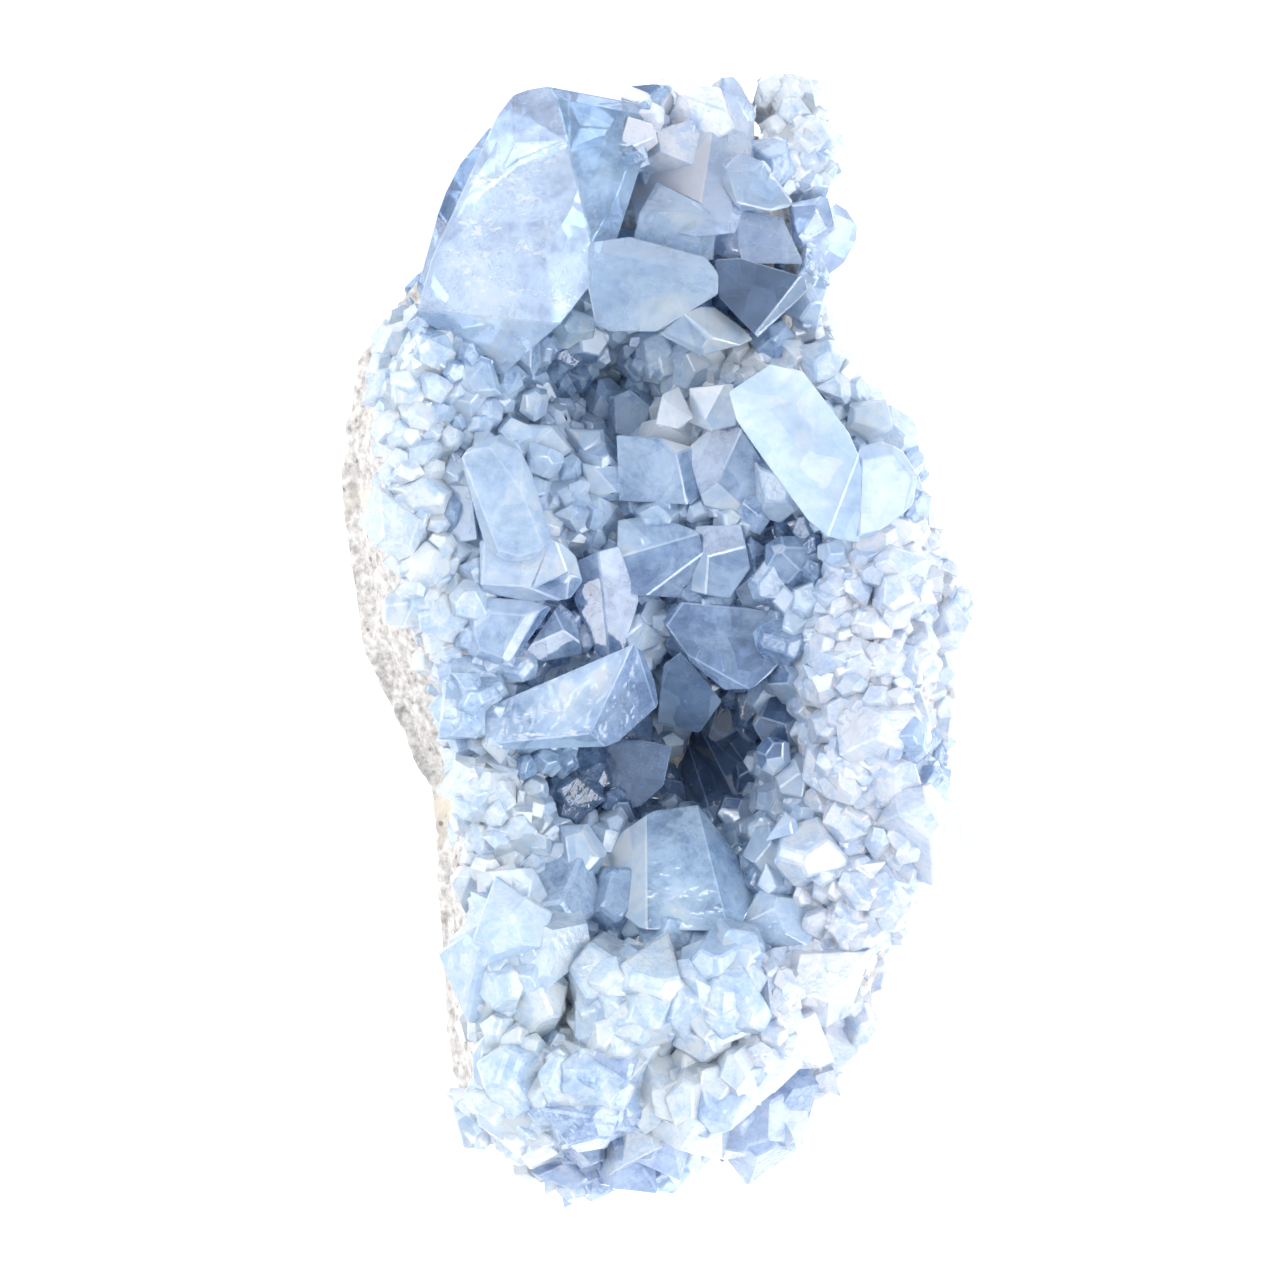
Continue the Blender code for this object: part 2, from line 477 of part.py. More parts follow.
def rock_solid():
    """The rock: its front, then back rings inwards to the flat rest spot."""
    mesh, edge = rock_front()
    rings = [edge]
    for share in BACK_RINGS:
        rings.append([mesh.verts.new((x, y, back(x, y))) for x, y in ring_points(ROCK, share, SPOKES)])
    rings.append([mesh.verts.new((x, y, 0)) for x, y in ring_points(ROCK, REST_SPOT_RING, SPOKES)])
    for outer, inner in zip(rings, rings[1:]):
        bridge(mesh, outer, inner)
    mesh.faces.new(list(reversed(rings[-1])))
    bmesh.ops.recalc_face_normals(mesh, faces=mesh.faces)
    return mesh


def rock_room():
    """All the space under the rock's front, grown by the gap: what the crystals are trimmed with."""
    mesh, edge = rock_front()
    mesh.normal_update()
    for vert in mesh.verts:
        vert.co += vert.normal * GAP
    for vert in edge:
        vert.co += Vector((vert.co.x, vert.co.y, 0)).normalized() * GAP
    skirt = [mesh.verts.new((vert.co.x, vert.co.y, -SKIRT_DEPTH)) for vert in edge]
    bridge(mesh, edge, skirt)
    mesh.faces.new(list(reversed(skirt)))
    bmesh.ops.recalc_face_normals(mesh, faces=mesh.faces)
    return mesh


def crust_top(x, y):
    """The height of the layer that the crystals stand on."""
    inner = smooth((1 - CRUST.share(x, y)) / CRUST_EDGE_SHARE)
    thickness = CRUST_EDGE_THICKNESS + (CRUST_THICKNESS - CRUST_EDGE_THICKNESS) * inner
    thickness *= 1 + CRUST_UNEVENNESS * noise.noise(Vector((x, y, CRUST_SEED)) / CRUST_LUMP_WIDTH)
    return front(x, y) + GAP + thickness


def crust_root(x, y):
    """A height inside the rock, from where the layer is trimmed by the rock's front."""
    return front(x, y) - ROOT_DEPTH


def crust_slab():
    """The thin layer that the crystals stand on."""
    mesh = bmesh.new()
    edges = []
    for height in (crust_top, crust_root):
        middle = mesh.verts.new((0, 0, height(0, 0)))
        rings = [[mesh.verts.new((x, y, height(x, y))) for x, y in ring_points(CRUST, share, CRUST_SPOKES)]
                 for share in CRUST_RINGS]
        fan(mesh, middle, rings[0])
        for inner, outer in zip(rings, rings[1:]):
            bridge(mesh, inner, outer)
        edges.append(rings[-1])
    bridge(mesh, edges[0], edges[1])
    bmesh.ops.recalc_face_normals(mesh, faces=mesh.faces)
    return mesh


def plane_height(plane, x, y):
    point, normal = plane
    return point.z - (normal.x * (x - point.x) + normal.y * (y - point.y)) / normal.z


def face_through(corners):
    """The upward plane through three corners."""
    a, b, c = (Vector(corner) for corner in corners)
    normal = (b - a).cross(c - a).normalized()
    return a, normal if normal.z > 0 else -normal


def tilted_face(centre, height, tilt, toward):
    """The plane over a centre that leans by so many degrees toward a compass direction (0 is +X)."""
    lean = math.radians(tilt)
    way = math.radians(toward)
    normal = Vector((math.sin(lean) * math.cos(way), math.sin(lean) * math.sin(way), math.cos(lean)))
    return Vector((centre[0], centre[1], height)), normal


def side_face(plane, outline, centre, chance):
    """A second face that slopes off one side of a crystal's top, as its neighbour in the crystal form."""
    way = chance.uniform(0, math.tau)
    reach = sum(math.hypot(x - centre[0], y - centre[1]) for x, y in outline) / len(outline)
    offset = reach * chance.uniform(*SIDE_FACE_OFFSET)
    x = centre[0] + offset * math.cos(way)
    y = centre[1] + offset * math.sin(way)
    tilt = math.radians(chance.uniform(*SIDE_FACE_TILT))
    outward = Vector((math.cos(way), math.sin(way), 0))
    normal = (plane[1] * math.cos(tilt) + outward * math.sin(tilt)).normalized()
    return Vector((x, y, plane_height(plane, x, y))), normal


def cut_planes(outline, faces, root=None, undercut=UNDERCUT, chamfer=0.0, chance=None):
    """The planes of a crystal drawn by hand: its outline from above, its faces and its buried root."""
    centre = (sum(x for x, y in outline) / len(outline), sum(y for x, y in outline) / len(outline))
    tops = []
    for face in faces:
        if len(face) == 3 and hasattr(face[0], "__len__"):
            tops.append(face_through(face))
        else:
            tops.append(tilted_face(centre, *face))
            tops.append(side_face(tops[0], outline, centre, chance))
            tops.append(side_face(tops[0], outline, centre, chance))
    planes = list(tops)
    area = sum(x0 * y1 - x1 * y0 for (x0, y0), (x1, y1) in zip(outline, outline[1:] + outline[:1]))
    loop = outline if area > 0 else outline[::-1]
    lean = math.radians(undercut)
    for (x0, y0), (x1, y1) in zip(loop, loop[1:] + loop[:1]):
        start = Vector((x0, y0, min(plane_height(top, x0, y0) for top in tops)))
        end = Vector((x1, y1, min(plane_height(top, x1, y1) for top in tops)))
        outward = Vector((y1 - y0, x0 - x1, 0)).normalized()
        down = Vector((-outward.x * math.sin(lean), -outward.y * math.sin(lean), -math.cos(lean)))
        normal = (end - start).cross(down).normalized()
        if normal.dot(outward) < 0:
            normal = -normal
        planes.append((start, normal))
        if chamfer and chance:
            width = chamfer * chance.uniform(*CHAMFER_SPREAD)
            slope = (normal + Vector((0, 0, 1)) * chance.uniform(*CHAMFER_SLOPE)).normalized()
            planes.append((start - outward * width, slope))
    base = root if root is not None else front(*centre) - ROOT_DEPTH
    planes.append((Vector((0, 0, base)), Vector((0, 0, -1))))
    return planes


def grown_planes(seat, axis, turn, width, length, chance, blunt=0.0):
    """The planes of a crystal in celestite's own habit: a rhombic prism with a wedge-shaped end."""
    frame = Vector((0, 0, 1)).rotation_difference(axis).to_matrix() @ Matrix.Rotation(turn, 3, "Z")
    prism = math.radians(PRISM_ANGLE)
    wedge = math.radians(WEDGE_ANGLE)
    roof = math.radians(ROOF_ANGLE)
    half = width / 2
    planes = []

    def add(normal, distance):
        normal = frame @ Vector(normal)
        planes.append((seat + normal * distance, normal))

    for side in (1, -1):
        for other in (1, -1):
            add((side * math.cos(prism), other * math.sin(prism), 0), half * chance.uniform(0.75, 1.0))
        add((0, side, 0), half * chance.uniform(0.8, 1.25))
        tip = length * math.cos(wedge) * chance.uniform(0.9, 1.0)
        add((side * math.sin(wedge), 0, math.cos(wedge)), tip)
        tip = length * math.cos(roof) * chance.uniform(1.0, 1.25)
        add((0, side * math.sin(roof), math.cos(roof)), tip)
    if blunt:
        add((0, 0, 1), length * (1 - blunt))
    add((0, 0, -1), ROOT_DEPTH)
    return planes


def trimmed(planes, grow=0.0, reach=200.0):
    """A convex solid: a large cube cut by every plane, each moved outwards by grow."""
    solid = bmesh.new()
    bmesh.ops.create_cube(solid, size=reach)
    for point, normal in planes:
        geometry = solid.verts[:] + solid.edges[:] + solid.faces[:]
        cut = bmesh.ops.bisect_plane(solid, geom=geometry, dist=0.0005, plane_co=point + normal * grow,
                                     plane_no=normal, clear_outer=True)
        rim = [item for item in cut["geom_cut"] if isinstance(item, bmesh.types.BMEdge)]
        if rim:
            bmesh.ops.contextual_create(solid, geom=rim)
    bmesh.ops.recalc_face_normals(solid, faces=solid.faces)
    return solid


def gathered(solids):
    """Several solids in one mesh, still as separate shells."""
    together = bmesh.new()
    for solid in solids:
        data = bpy.data.meshes.new("shell")
        solid.to_mesh(data)
        solid.free()
        together.from_mesh(data)
        bpy.data.meshes.remove(data)
    return together


def inside(outline, x, y, margin):
    """Whether a point is within a convex outline grown by a margin."""
    area = sum(x0 * y1 - x1 * y0 for (x0, y0), (x1, y1) in zip(outline, outline[1:] + outline[:1]))
    loop = outline if area > 0 else outline[::-1]
    for (x0, y0), (x1, y1) in zip(loop, loop[1:] + loop[:1]):
        length = math.hypot(x1 - x0, y1 - y0)
        if ((y1 - y0) * (x - x0) - (x1 - x0) * (y - y0)) / length > margin:
            return False
    return True


def slope_axis(x, y, outward_lean, chance):
    """The direction that a crystal grows in: off the rock, leaning outwards and a little at random."""
    step = 1.0
    normal = Vector((front(x - step, y) - front(x + step, y), front(x, y - step) - front(x, y + step),
                     4 * step)).normalized()
    outward = Vector((x, y, 0)).normalized() * math.tan(math.radians(outward_lean))
    wander = Vector((chance.uniform(-AXIS_WANDER, AXIS_WANDER), chance.uniform(-AXIS_WANDER, AXIS_WANDER), 0))
    axis = (normal + outward * CRUST.share(x, y) ** 3 + wander).normalized()
    axis.z = max(axis.z, LEAST_AXIS_RISE)
    return axis.normalized()


def scattered_crystals():
    """Seats and planes of the crystals that fill the crust between the ones drawn by hand."""
    chance = random.Random(SCATTER_SEED)
    drawn = [crystal["outline"] for crystal in (*CRUST_CRYSTALS.values(), *CROWN_CRYSTALS.values())]
    seats = []
    crystals = []
    for (cx, cy, reach_x, reach_y), spacing, (narrow, wide), lean in PATCHES.values():
        for _ in range(SCATTER_TRIES):
            x = cx + reach_x * chance.uniform(-1, 1)
            y = cy + reach_y * chance.uniform(-1, 1)
            if CRUST.share(x, y) > SCATTER_SHARE:
                continue
            if any(inside(outline, x, y, SCATTER_MARGIN) for outline in drawn):
                continue
            if any(math.hypot(x - sx, y - sy) < spacing for sx, sy in seats):
                continue
            if math.hypot(x - BARE_FLOOR[0], y - BARE_FLOOR[1]) < BARE_FLOOR[2]:
                continue
            seats.append((x, y))
            width = chance.uniform(narrow, wide)
            length = width * chance.uniform(*SCATTER_LENGTH)
            seat = Vector((x, y, front(x, y)))
            axis = slope_axis(x, y, lean, chance)
            crystals.append(grown_planes(seat, axis, chance.uniform(0, math.tau), width, length, chance,
                                         blunt=chance.choice(BLUNT_ENDS)))
    return crystals


def fringe_crystals():
    """The crystals along the lower end, which lean outwards past the rock."""
    chance = random.Random(FRINGE_SEED)
    crystals = []
    for compass, share in FRINGE:
        way = math.radians(compass)
        radius = share * ROCK.radius(way)
        x, y = radius * math.cos(way), radius * math.sin(way)
        lean = math.radians(FRINGE_LEAN + chance.uniform(*FRINGE_LEAN_SPREAD))
        side = way + math.radians(chance.uniform(-FRINGE_TURN, FRINGE_TURN))
        axis = Vector((math.sin(lean) * math.cos(side), math.sin(lean) * math.sin(side), math.cos(lean)))
        width = chance.uniform(*FRINGE_WIDTH)
        seat = Vector((x, y, front(x, y) + FRINGE_SEAT_RISE))
        turn = chance.uniform(0, math.tau)
        crystals.append(grown_planes(seat, axis, turn, width, FRINGE_LENGTH * width, chance))
    return crystals


def drawn_crystals(table, seed):
    chance = random.Random(seed)
    return [cut_planes(chance=chance, **crystal) for crystal in table.values()]


def add_object(name, mesh, material):
    """A mesh in millimetres as an object in metres."""
    data = bpy.data.meshes.new(name)
    bmesh.ops.triangulate(mesh, faces=mesh.faces)
    bmesh.ops.transform(mesh, matrix=Matrix.Diagonal((MM, MM, MM, 1)), verts=mesh.verts)
    mesh.to_mesh(data)
    mesh.free()
    thing = bpy.data.objects.new(name, data)
    bpy.context.collection.objects.link(thing)
    if material:
        data.materials.append(material)
    return thing


def add_cutter(name, mesh):
    cutter = add_object(name, mesh, None)
    cutter.hide_render = True
    cutter.display_type = "WIRE"
    return cutter


def carve(thing, cutter):
    """Fuse an object's overlapping shells and cut away what lies in the cutter."""
    cut = thing.modifiers.new("trim", "BOOLEAN")
    cut.operation = "DIFFERENCE"
    cut.solver = "EXACT"
    cut.use_self = True
    cut.object = cutter


def shells(mesh):
    """The mesh's faces, in lists that hang together."""
    unseen = set(mesh.faces)
    while unseen:
        group = [unseen.pop()]
        for face in group:
            for edge in face.edges:
                for other in edge.link_faces:
                    if other in unseen:
                        unseen.remove(other)
                        group.append(other)
        yield group


def settle(thing):
    """Apply an object's modifiers, and keep its one large body without loose bits or closed pockets."""
    graph = bpy.context.evaluated_depsgraph_get()
    solid = bmesh.new()
    solid.from_mesh(thing.evaluated_get(graph).to_mesh())
    thing.modifiers.clear()
    groups = sorted(shells(solid), key=len, reverse=True)
    scraps = [face for group in groups[1:] for face in group]
    bmesh.ops.delete(solid, geom=scraps, context="FACES")
    flat = math.radians(FLAT_ANGLE)
    bmesh.ops.dissolve_limit(solid, angle_limit=flat, verts=solid.verts, edges=solid.edges)
    bmesh.ops.triangulate(solid, faces=solid.faces)
    solid.to_mesh(thing.data)
    solid.free()


def stand_at_origin(things):
    """Move the finished solids together, so that the middle of their bottom is the origin."""
    points = [vert.co for thing in things for vert in thing.data.vertices]
    low = Vector([min(point[i] for point in points) for i in range(3)])
    high = Vector([max(point[i] for point in points) for i in range(3)])
    shift = Vector((-(low.x + high.x) / 2, -(low.y + high.y) / 2, -low.z))
    for thing in things:
        thing.data.transform(Matrix.Translation(shift))


def make_material(name, colour, roughness):
    material = bpy.data.materials.new(name)
    material.use_nodes = True
    shader = material.node_tree.nodes["Principled BSDF"]
    shader.inputs["Base Color"].default_value = (*colour, 1.0)
    shader.inputs["Roughness"].default_value = roughness
    shader.inputs["Metallic"].default_value = 0.0
    return material


def main():
    for thing in list(bpy.data.objects):
        bpy.data.objects.remove(thing)
    rock = make_material("host_rock", (0.62, 0.59, 0.56), 0.85)
    crystal = make_material("celestite", (0.66, 0.77, 0.88), 0.15)
    matrix = add_object("matrix", rock_solid(), rock)

    crown_planes = drawn_crystals(CROWN_CRYSTALS, seed=3)
    crown = add_object("crown_crystals", gathered([trimmed(planes) for planes in crown_planes]), crystal)
    room = add_cutter("rock_room", rock_room())
    carve(crown, room)
    settle(crown)

    crust_planes = drawn_crystals(CRUST_CRYSTALS, seed=5) + fringe_crystals() + scattered_crystals()
    solids = [crust_slab()] + [trimmed(planes) for planes in crust_planes]
    crust = add_object("crystal_crust", gathered(solids), crystal)
    crown_room = [trimmed(planes, grow=GAP) for planes in crown_planes]
    taken = add_cutter("taken_room", gathered([rock_room()] + crown_room))
    carve(crust, taken)
    settle(crust)
    for cutter in (room, taken):
        bpy.data.objects.remove(cutter)
    stand_at_origin([matrix, crown, crust])


main()
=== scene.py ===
"""The looks of a celestite cluster: half of a geode on its back, lit softly and seen from straight above.

Sizes and places in the tables are in millimetres in the model's own frame: X across the specimen, Y along
it and Z up. What is built from them is in metres, and so are the lights, the floor and the textures.
"""

import math
import random

import bmesh
import bpy
import numpy as np
from mathutils import Matrix, Vector, noise
from mathutils.bvhtree import BVHTree


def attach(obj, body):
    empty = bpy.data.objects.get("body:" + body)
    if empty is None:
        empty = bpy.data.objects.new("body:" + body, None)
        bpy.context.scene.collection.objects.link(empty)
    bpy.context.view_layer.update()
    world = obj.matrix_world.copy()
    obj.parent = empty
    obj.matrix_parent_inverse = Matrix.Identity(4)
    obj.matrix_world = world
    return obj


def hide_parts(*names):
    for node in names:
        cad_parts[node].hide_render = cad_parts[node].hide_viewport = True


MM = 0.001

# The camera stands where the photograph's did, on the crystal side
CAMERA_PLACE = (-1.6, -0.6, 928.0)
CAMERA_DISTANCE = 900.0
SEEN_WIDTH = 139.5
SENSOR_WIDTH = 36.0

# Two large soft lights, as (name, place, size, power), and small ones round the specimen that make faces
# glint, as (turn in degrees, height)
SOFT_LIGHTS = (("key", (0.75, -0.25, 0.7), 0.9, 14.0), ("fill", (-0.8, 0.3, 0.6), 0.9, 9.0))
SPARKS = ((20, 0.55), (95, 0.35), (160, 0.6), (215, 0.3), (300, 0.45))
SPARK_DISTANCE = 0.45
SPARK_SIZE = 0.09
SPARK_POWER = 0.17
LIGHT_AIM = (0.0, 0.0, 0.02)

# The studio's light, from the horizon to overhead, as the sine of the height and the strength there
SKY_COLOUR = (0.94, 0.97, 1.0, 1.0)
SKY_LOW = (0.2, 1.25)
SKY_HIGH = (0.95, 1.0)

FLOOR_REACH = 3.0
FLOOR_COLOUR = (0.95, 0.95, 0.96, 1.0)
FLOOR_ROUGHNESS = 0.9
FLOOR_GLOW = 0.45

# Crystal edges are broken by a fine bevel, which catches more light than the faces
# The bevel's faces also get a painted highlight: their shade is lifted towards white, most on dark faces
BEVEL_WIDTH = 0.14
BEVEL_MIN_LENGTH = 1.0
BEVEL_MIN_ANGLE = 14.0
BEVEL_PAINTED_HIGHLIGHT = 0.30
FLAT_ANGLE = 0.6
WELD = 0.002

# Faces are split about this fine, in a few passes, so that soft spots can show within them
FINE_EDGE = 2.5
SPLIT_PASSES = 4

# The rock's surface is rebuilt in fine cells, then roughened in lumps and grains of (size, height), but not
# near the ground that it rests on
ROCK_VOXEL = 0.5
ROCK_RELIEF = ((7.0, 0.5), (2.2, 0.35), (0.9, 0.22))
ROCK_SMOOTH_BELOW = 3.0

# Small crystals are copies of a few forms of unit width, each a prism with a wedge-shaped end. The ranges
# are the prism's half width, its length, how far the end's two pairs of faces stand out, and the share of
# the length that a blunt end loses.
FORM_COUNT = 24
FORM_SEED = 4
FORM_BEVEL = 0.03
PRISM_ANGLE = 38.0
WEDGE_ANGLE = 38.0
ROOF_ANGLE = 55.0
FORM_SIDES = (0.34, 0.52)
FORM_LENGTHS = (0.45, 0.85)
FORM_WEDGES = (0.8, 1.0)
FORM_ROOFS = (0.9, 1.25)
FORM_BLUNTS = (0.0, 0.1, 0.18, 0.25)
FORM_ROOT = 0.5
FORM_BLOCK = 4.0
CUT_SLACK = 1e-5

# Small sizes are likelier than large ones by this power
SMALL_BIAS = 1.7

# Shades vary by chance, from one large face, small crystal or small face to the next
FACE_SHADES = (-0.04, 0.04)
CRYSTAL_SHADES = (-0.07, 0.06)
FACET_SHADES = (-0.035, 0.035)
TURN_SEED = 7

# What covers a seat is looked for from a little above it and this far up, and the rock this far down
SEAT_LIFT = 0.05
COVER_REACH = 30.0
ROCK_REACH = 40.0

# Shade of the crystal faces, from dark hollow to sugary white, by the form that they belong to. Each shade is
# partly the crystal's own tone, clear or milky,
# and partly painted light and shade: rows in the hollows are darkened for the shade there, and rows on the
# foot, the hazy top and below the crown are lifted to near white for the light that floods them.
# A row is (x, y, reach, shade, milk, tint, sparkle); milk is cloudiness, tint runs from teal to lilac, and
# sparkle is how crowded the painted glints are.
FACE_LOOKS = {
    "great block": ((-15, 45, 15, 0.60, 1.0, 0.5, 1.2), (-18, 33, 7, 0.69, 0.9, 0.4, 0.4),
                    (-5, 51, 8, 0.54, 0.6, 0.1, 0.35), (-5, 58, 3.5, 0.46, 0.3, 0.4, 0.3),
                    (-8, 36, 4, 0.84, 0.6, 0.1, 0.1)),
    "pointed block": ((2, 52, 6, 0.98, 0.8, 0.9, 0.2), (7, 51, 3.5, 0.74, 0.6, 0.8, 0.1),
                      (9, 56, 4, 0.74, 0.8, 0.8, 0.2), (2, 47, 3, 0.50, 0.5, 0.5, 0.1)),
    "blue facet": ((11, 48, 3, 0.66, 0.5, 0.5, 0.1), (10, 43, 4, 0.66, 0.6, 0.9, 0.1)),
    "hazy top": ((15, 57, 6, 0.98, 1.0, 0.6, 0.4), (17, 51, 5, 0.86, 1.0, 0.7, 0.3)),
    "right ear": ((20, 44, 5, 0.68, 0.8, 0.8, 0.2),),
    "front block": ((0, 41, 4, 0.66, 0.5, 0.4, 0.1), (-1, 37, 8, 0.77, 0.8, 0.4, 0.2)),
    "dark wedge": ((11, 37, 5, 0.28, 0.3, 0.2, 0.7), (14, 35, 3, 0.58, 0.4, 0.5, 0.1)),
    "below the crown": ((7, 33, 4, 1.00, 0.8, 0.5, 0.2), (9, 30, 4, 1.00, 0.8, 0.5, 0.2),
                        (-13, 30, 4, 0.62, 0.7, 0.4, 0.2), (-10, 29, 3, 0.48, 0.5, 0.3, 0.1),
                        (18, 32, 5, 0.93, 0.8, 0.6, 0.2), (3, 22, 4, 0.98, 0.7, 0.6, 0.3),
                        (10, 25, 4, 0.86, 0.8, 0.5, 0.2)),
    "upper hollow": ((-5, 30, 4, 0.62, 0.4, 0.3, 0.1), (-4, 26, 4, 0.56, 0.3, 0.3, 0.1),
                     (5, 27, 3, 0.82, 0.6, 0.5, 0.3)),
    "shield": ((15, 21, 11, 0.86, 0.6, 0.5, 0.1), (22, 14, 4, 0.70, 0.6, 0.5, 0.1),
               (25, 16, 5, 0.68, 0.7, 0.6, 0.2)),
    "middle row": ((-1, 18, 5, 0.64, 0.8, 0.5, 0.2), (6, 19, 4, 0.53, 0.7, 0.6, 0.2),
                   (11, 16, 4, 0.64, 0.7, 0.6, 0.2), (0, 11, 4, 0.69, 0.8, 0.4, 0.2),
                   (1, 8, 4, 0.44, 0.7, 0.6, 0.2), (7, 10, 3, 0.52, 0.7, 0.5, 0.1),
                   (8, 7, 3, 0.60, 0.6, 0.5, 0.1), (15, 12, 3, 0.34, 0.4, 0.4, 0.1),
                   (14, 8, 4, 0.48, 0.6, 0.5, 0.2)),
    "left columns": ((-17, 14, 6, 0.81, 0.9, 0.5, 0.2), (-21, 14, 3, 0.62, 0.5, 0.5, 0.1),
                     (-13, 16, 3, 0.72, 0.7, 0.5, 0.3), (-10, 12, 3, 0.84, 1.0, 0.5, 0.2),
                     (-15, 6, 5, 0.79, 0.9, 0.6, 0.2), (-6, 4, 5, 0.50, 0.8, 0.8, 0.1),
                     (-17, 0, 4, 0.71, 0.9, 0.6, 0.2), (-11, -1, 3, 0.50, 0.7, 0.5, 0.2)),
    "hanging wedge": ((8, -1, 7, 0.48, 0.7, 0.5, 0.15), (4, -6, 3.5, 0.56, 0.3, 0.4, 0.1),
                      (11, -6, 3, 0.56, 0.5, 0.5, 0.1)),
    "lying prism": ((-10, -7, 7, 0.65, 0.8, 0.5, 1.4), (-3, -7, 4, 0.49, 0.6, 0.5, 0.8),
                    (-16, -6, 3, 0.72, 0.4, 0.4, 0.2), (-12, -12, 4, 0.60, 0.6, 0.2, 0.3),
                    (-21, -8, 4, 0.72, 0.9, 0.5, 0.2)),
    "inner cube": ((-3, -15, 5, 0.30, 0.5, 0.3, 0.2), (-9, -16, 4, 0.25, 0.6, 0.4, 0.2)),
    "main hollow": ((6, -15, 5, 0.32, 0.2, 0.8, 0.1), (11, -10, 4, 0.34, 0.3, 0.5, 0.1)),
    "double tip": ((3, -26, 7, 0.56, 0.9, 0.2, 0.1), (-3, -26, 4, 0.89, 0.6, 0.4, 0.2),
                   (8, -26, 4, 0.55, 0.7, 0.3, 0.2), (9, -31, 3, 0.87, 0.7, 0.4, 0.2)),
    "foot hollow": ((-7, -28, 3, 0.54, 0.4, 0.3, 0.2), (-4, -32, 2, 0.58, 0.3, 0.3, 0.1),
                    (-8, -34, 3, 0.70, 0.7, 0.5, 0.2)),
    "foot": ((-16, -36, 5, 0.85, 0.5, 0.4, 0.1), (-15, -41, 5, 1.00, 0.8, 0.4, 0.1),
             (-14, -48, 6, 0.90, 1.0, 0.4, 0.1), (-7, -50, 5, 0.76, 1.0, 0.4, 0.1),
             (-4, -39, 5, 0.87, 0.8, 0.4, 0.1), (-3, -45, 3, 0.98, 0.8, 0.4, 0.1),
             (6, -40, 5, 0.87, 0.9, 0.5, 0.1), (5, -48, 6, 0.97, 0.8, 0.5, 0.1)),
    "lower fringe": ((-5, -57, 6, 0.64, 0.7, 0.9, 0.2), (9, -52, 5, 0.67, 0.7, 0.9, 0.2)),
    "groove": ((29, -14, 4, 0.68, 0.5, 0.7, 0.1),),
}

# Milky and dark spots within the faces, as (x, y, reach, lift). The strongest, at (-6, -5) on the lying
# prism's right end, is a painted highlight where the prism glares.
SOFT_SPOTS = (
    (-19, 37, 9, 0.14), (-14, 56, 4, -0.16), (-13, 50, 6, 0.10), (-5, 45, 4, -0.12), (-1, 54, 3, -0.10),
    (-12, 38, 5, 0.08), (3, 45, 4, 0.10), (-3, 38, 3, -0.10), (2, 35, 3, 0.12), (11, 39, 3, -0.06),
    (-17, 18, 3, -0.08), (-18, 9, 3, 0.12), (14, 26, 4, 0.06), (18, 14, 3, 0.08), (10, 18, 3, -0.08),
    (-6, 8, 4, 0.10), (1, 4, 3, -0.08), (12, 2, 3, 0.10), (6, -3, 4, -0.10), (-14, -4, 3, -0.14),
    (-6, -5, 3, 0.34), (-10, -7, 3, 0.26), (0, -10, 3, 0.10), (2, -21, 4, -0.10), (3, -31, 5, 0.28),
    (-4, -24, 3, 0.14), (8, -31, 3, 0.14), (-16, -35, 4, -0.06), (-7, -51, 4, -0.06), (-14, -44, 4, 0.08),
)

# The left end of the bank's near-white crystals, and the crust's left edge on the rock, as (y, x)
BANK_EDGE = ((-52, 8), (-38, 9), (-29, 13), (-21, 16), (-11, 14), (8, 17), (14, 26), (40, 30))
RIM_LINE = ((-58, -12), (-52, -17), (-35, -17.5), (-24, -18.5), (-14, -20), (-7, -21.5), (1, -24.5),
            (8.4, -27.6), (17, -28.2), (29, -29.5), (34, -28), (37.5, -26.5), (44, -24.5))

# Where no row reaches, crystals have a plain look of (shade, milk, tint, sparkle). It is milkier on the bank,
# the foot and the left rim, and lighter there, partly for their milky white crystals and partly as painted
# light where the studio light floods them. It is darker in the depth, low down, as painted shade of the
# hollows.
PLAIN_LOOK = (0.77, 0.5, 0.5, 0.15)
MILKY_AND_LIT_SHADE = 0.17
LIGHT_MILK = 0.4
BANK_TINT = 0.3
BANK_FADE = 4.0
FOOT_TOP = -34.0
FOOT_END = -58.0
FOOT_FADE = 6.0
RIM_WIDTH = 9.0
RIM_FADE = 6.0
PAINTED_DEPTH_SHADE = 0.07
DEEP_TOP = 24.0
DEEP_FADE = 9.0
DEEP_LOSS_IN_LIGHT = 0.8

# Spots with a growth of their own, or none, as (x, y, reach)
MAIN_HOLLOW = (6.2, -13.8, 4.5)
CROWN_CLEFT = (20.6, 28.0, 3.0)
CROWN_NOTCH = (1.5, 54.0, 4.5)
SPECIMEN_MIDDLE = (0.0, 0.0, 12.0)

# How high above the rock a low place still is
GAP_HEIGHT = 3.4
CLEFT_HEIGHT = 4.0

# The upward part of a normal is below this on the foot's clefts' walls and, up or down, on the notch's
CLEFT_RISE = 0.35
NOTCH_RISE = 0.6

# A span that takes in the whole specimen; elsewhere too, an end at 99 is open
ANYWHERE = (-99, 99)

# The bank's crystals start this far right of its edge
BANK_START = 2.0

# The left rim's crystals lie from outside the crust's edge, by a ragged line, to a little inside it. They
# start lower beside the great block than elsewhere.
RIM_OUTSIDE = 1.5
RIM_INSIDE = 4.0
RIM_RAGGED = 2.5
RIM_GRAIN = 5.0
RIM_FLOOR = 17.0
BLOCK_START = 30.0

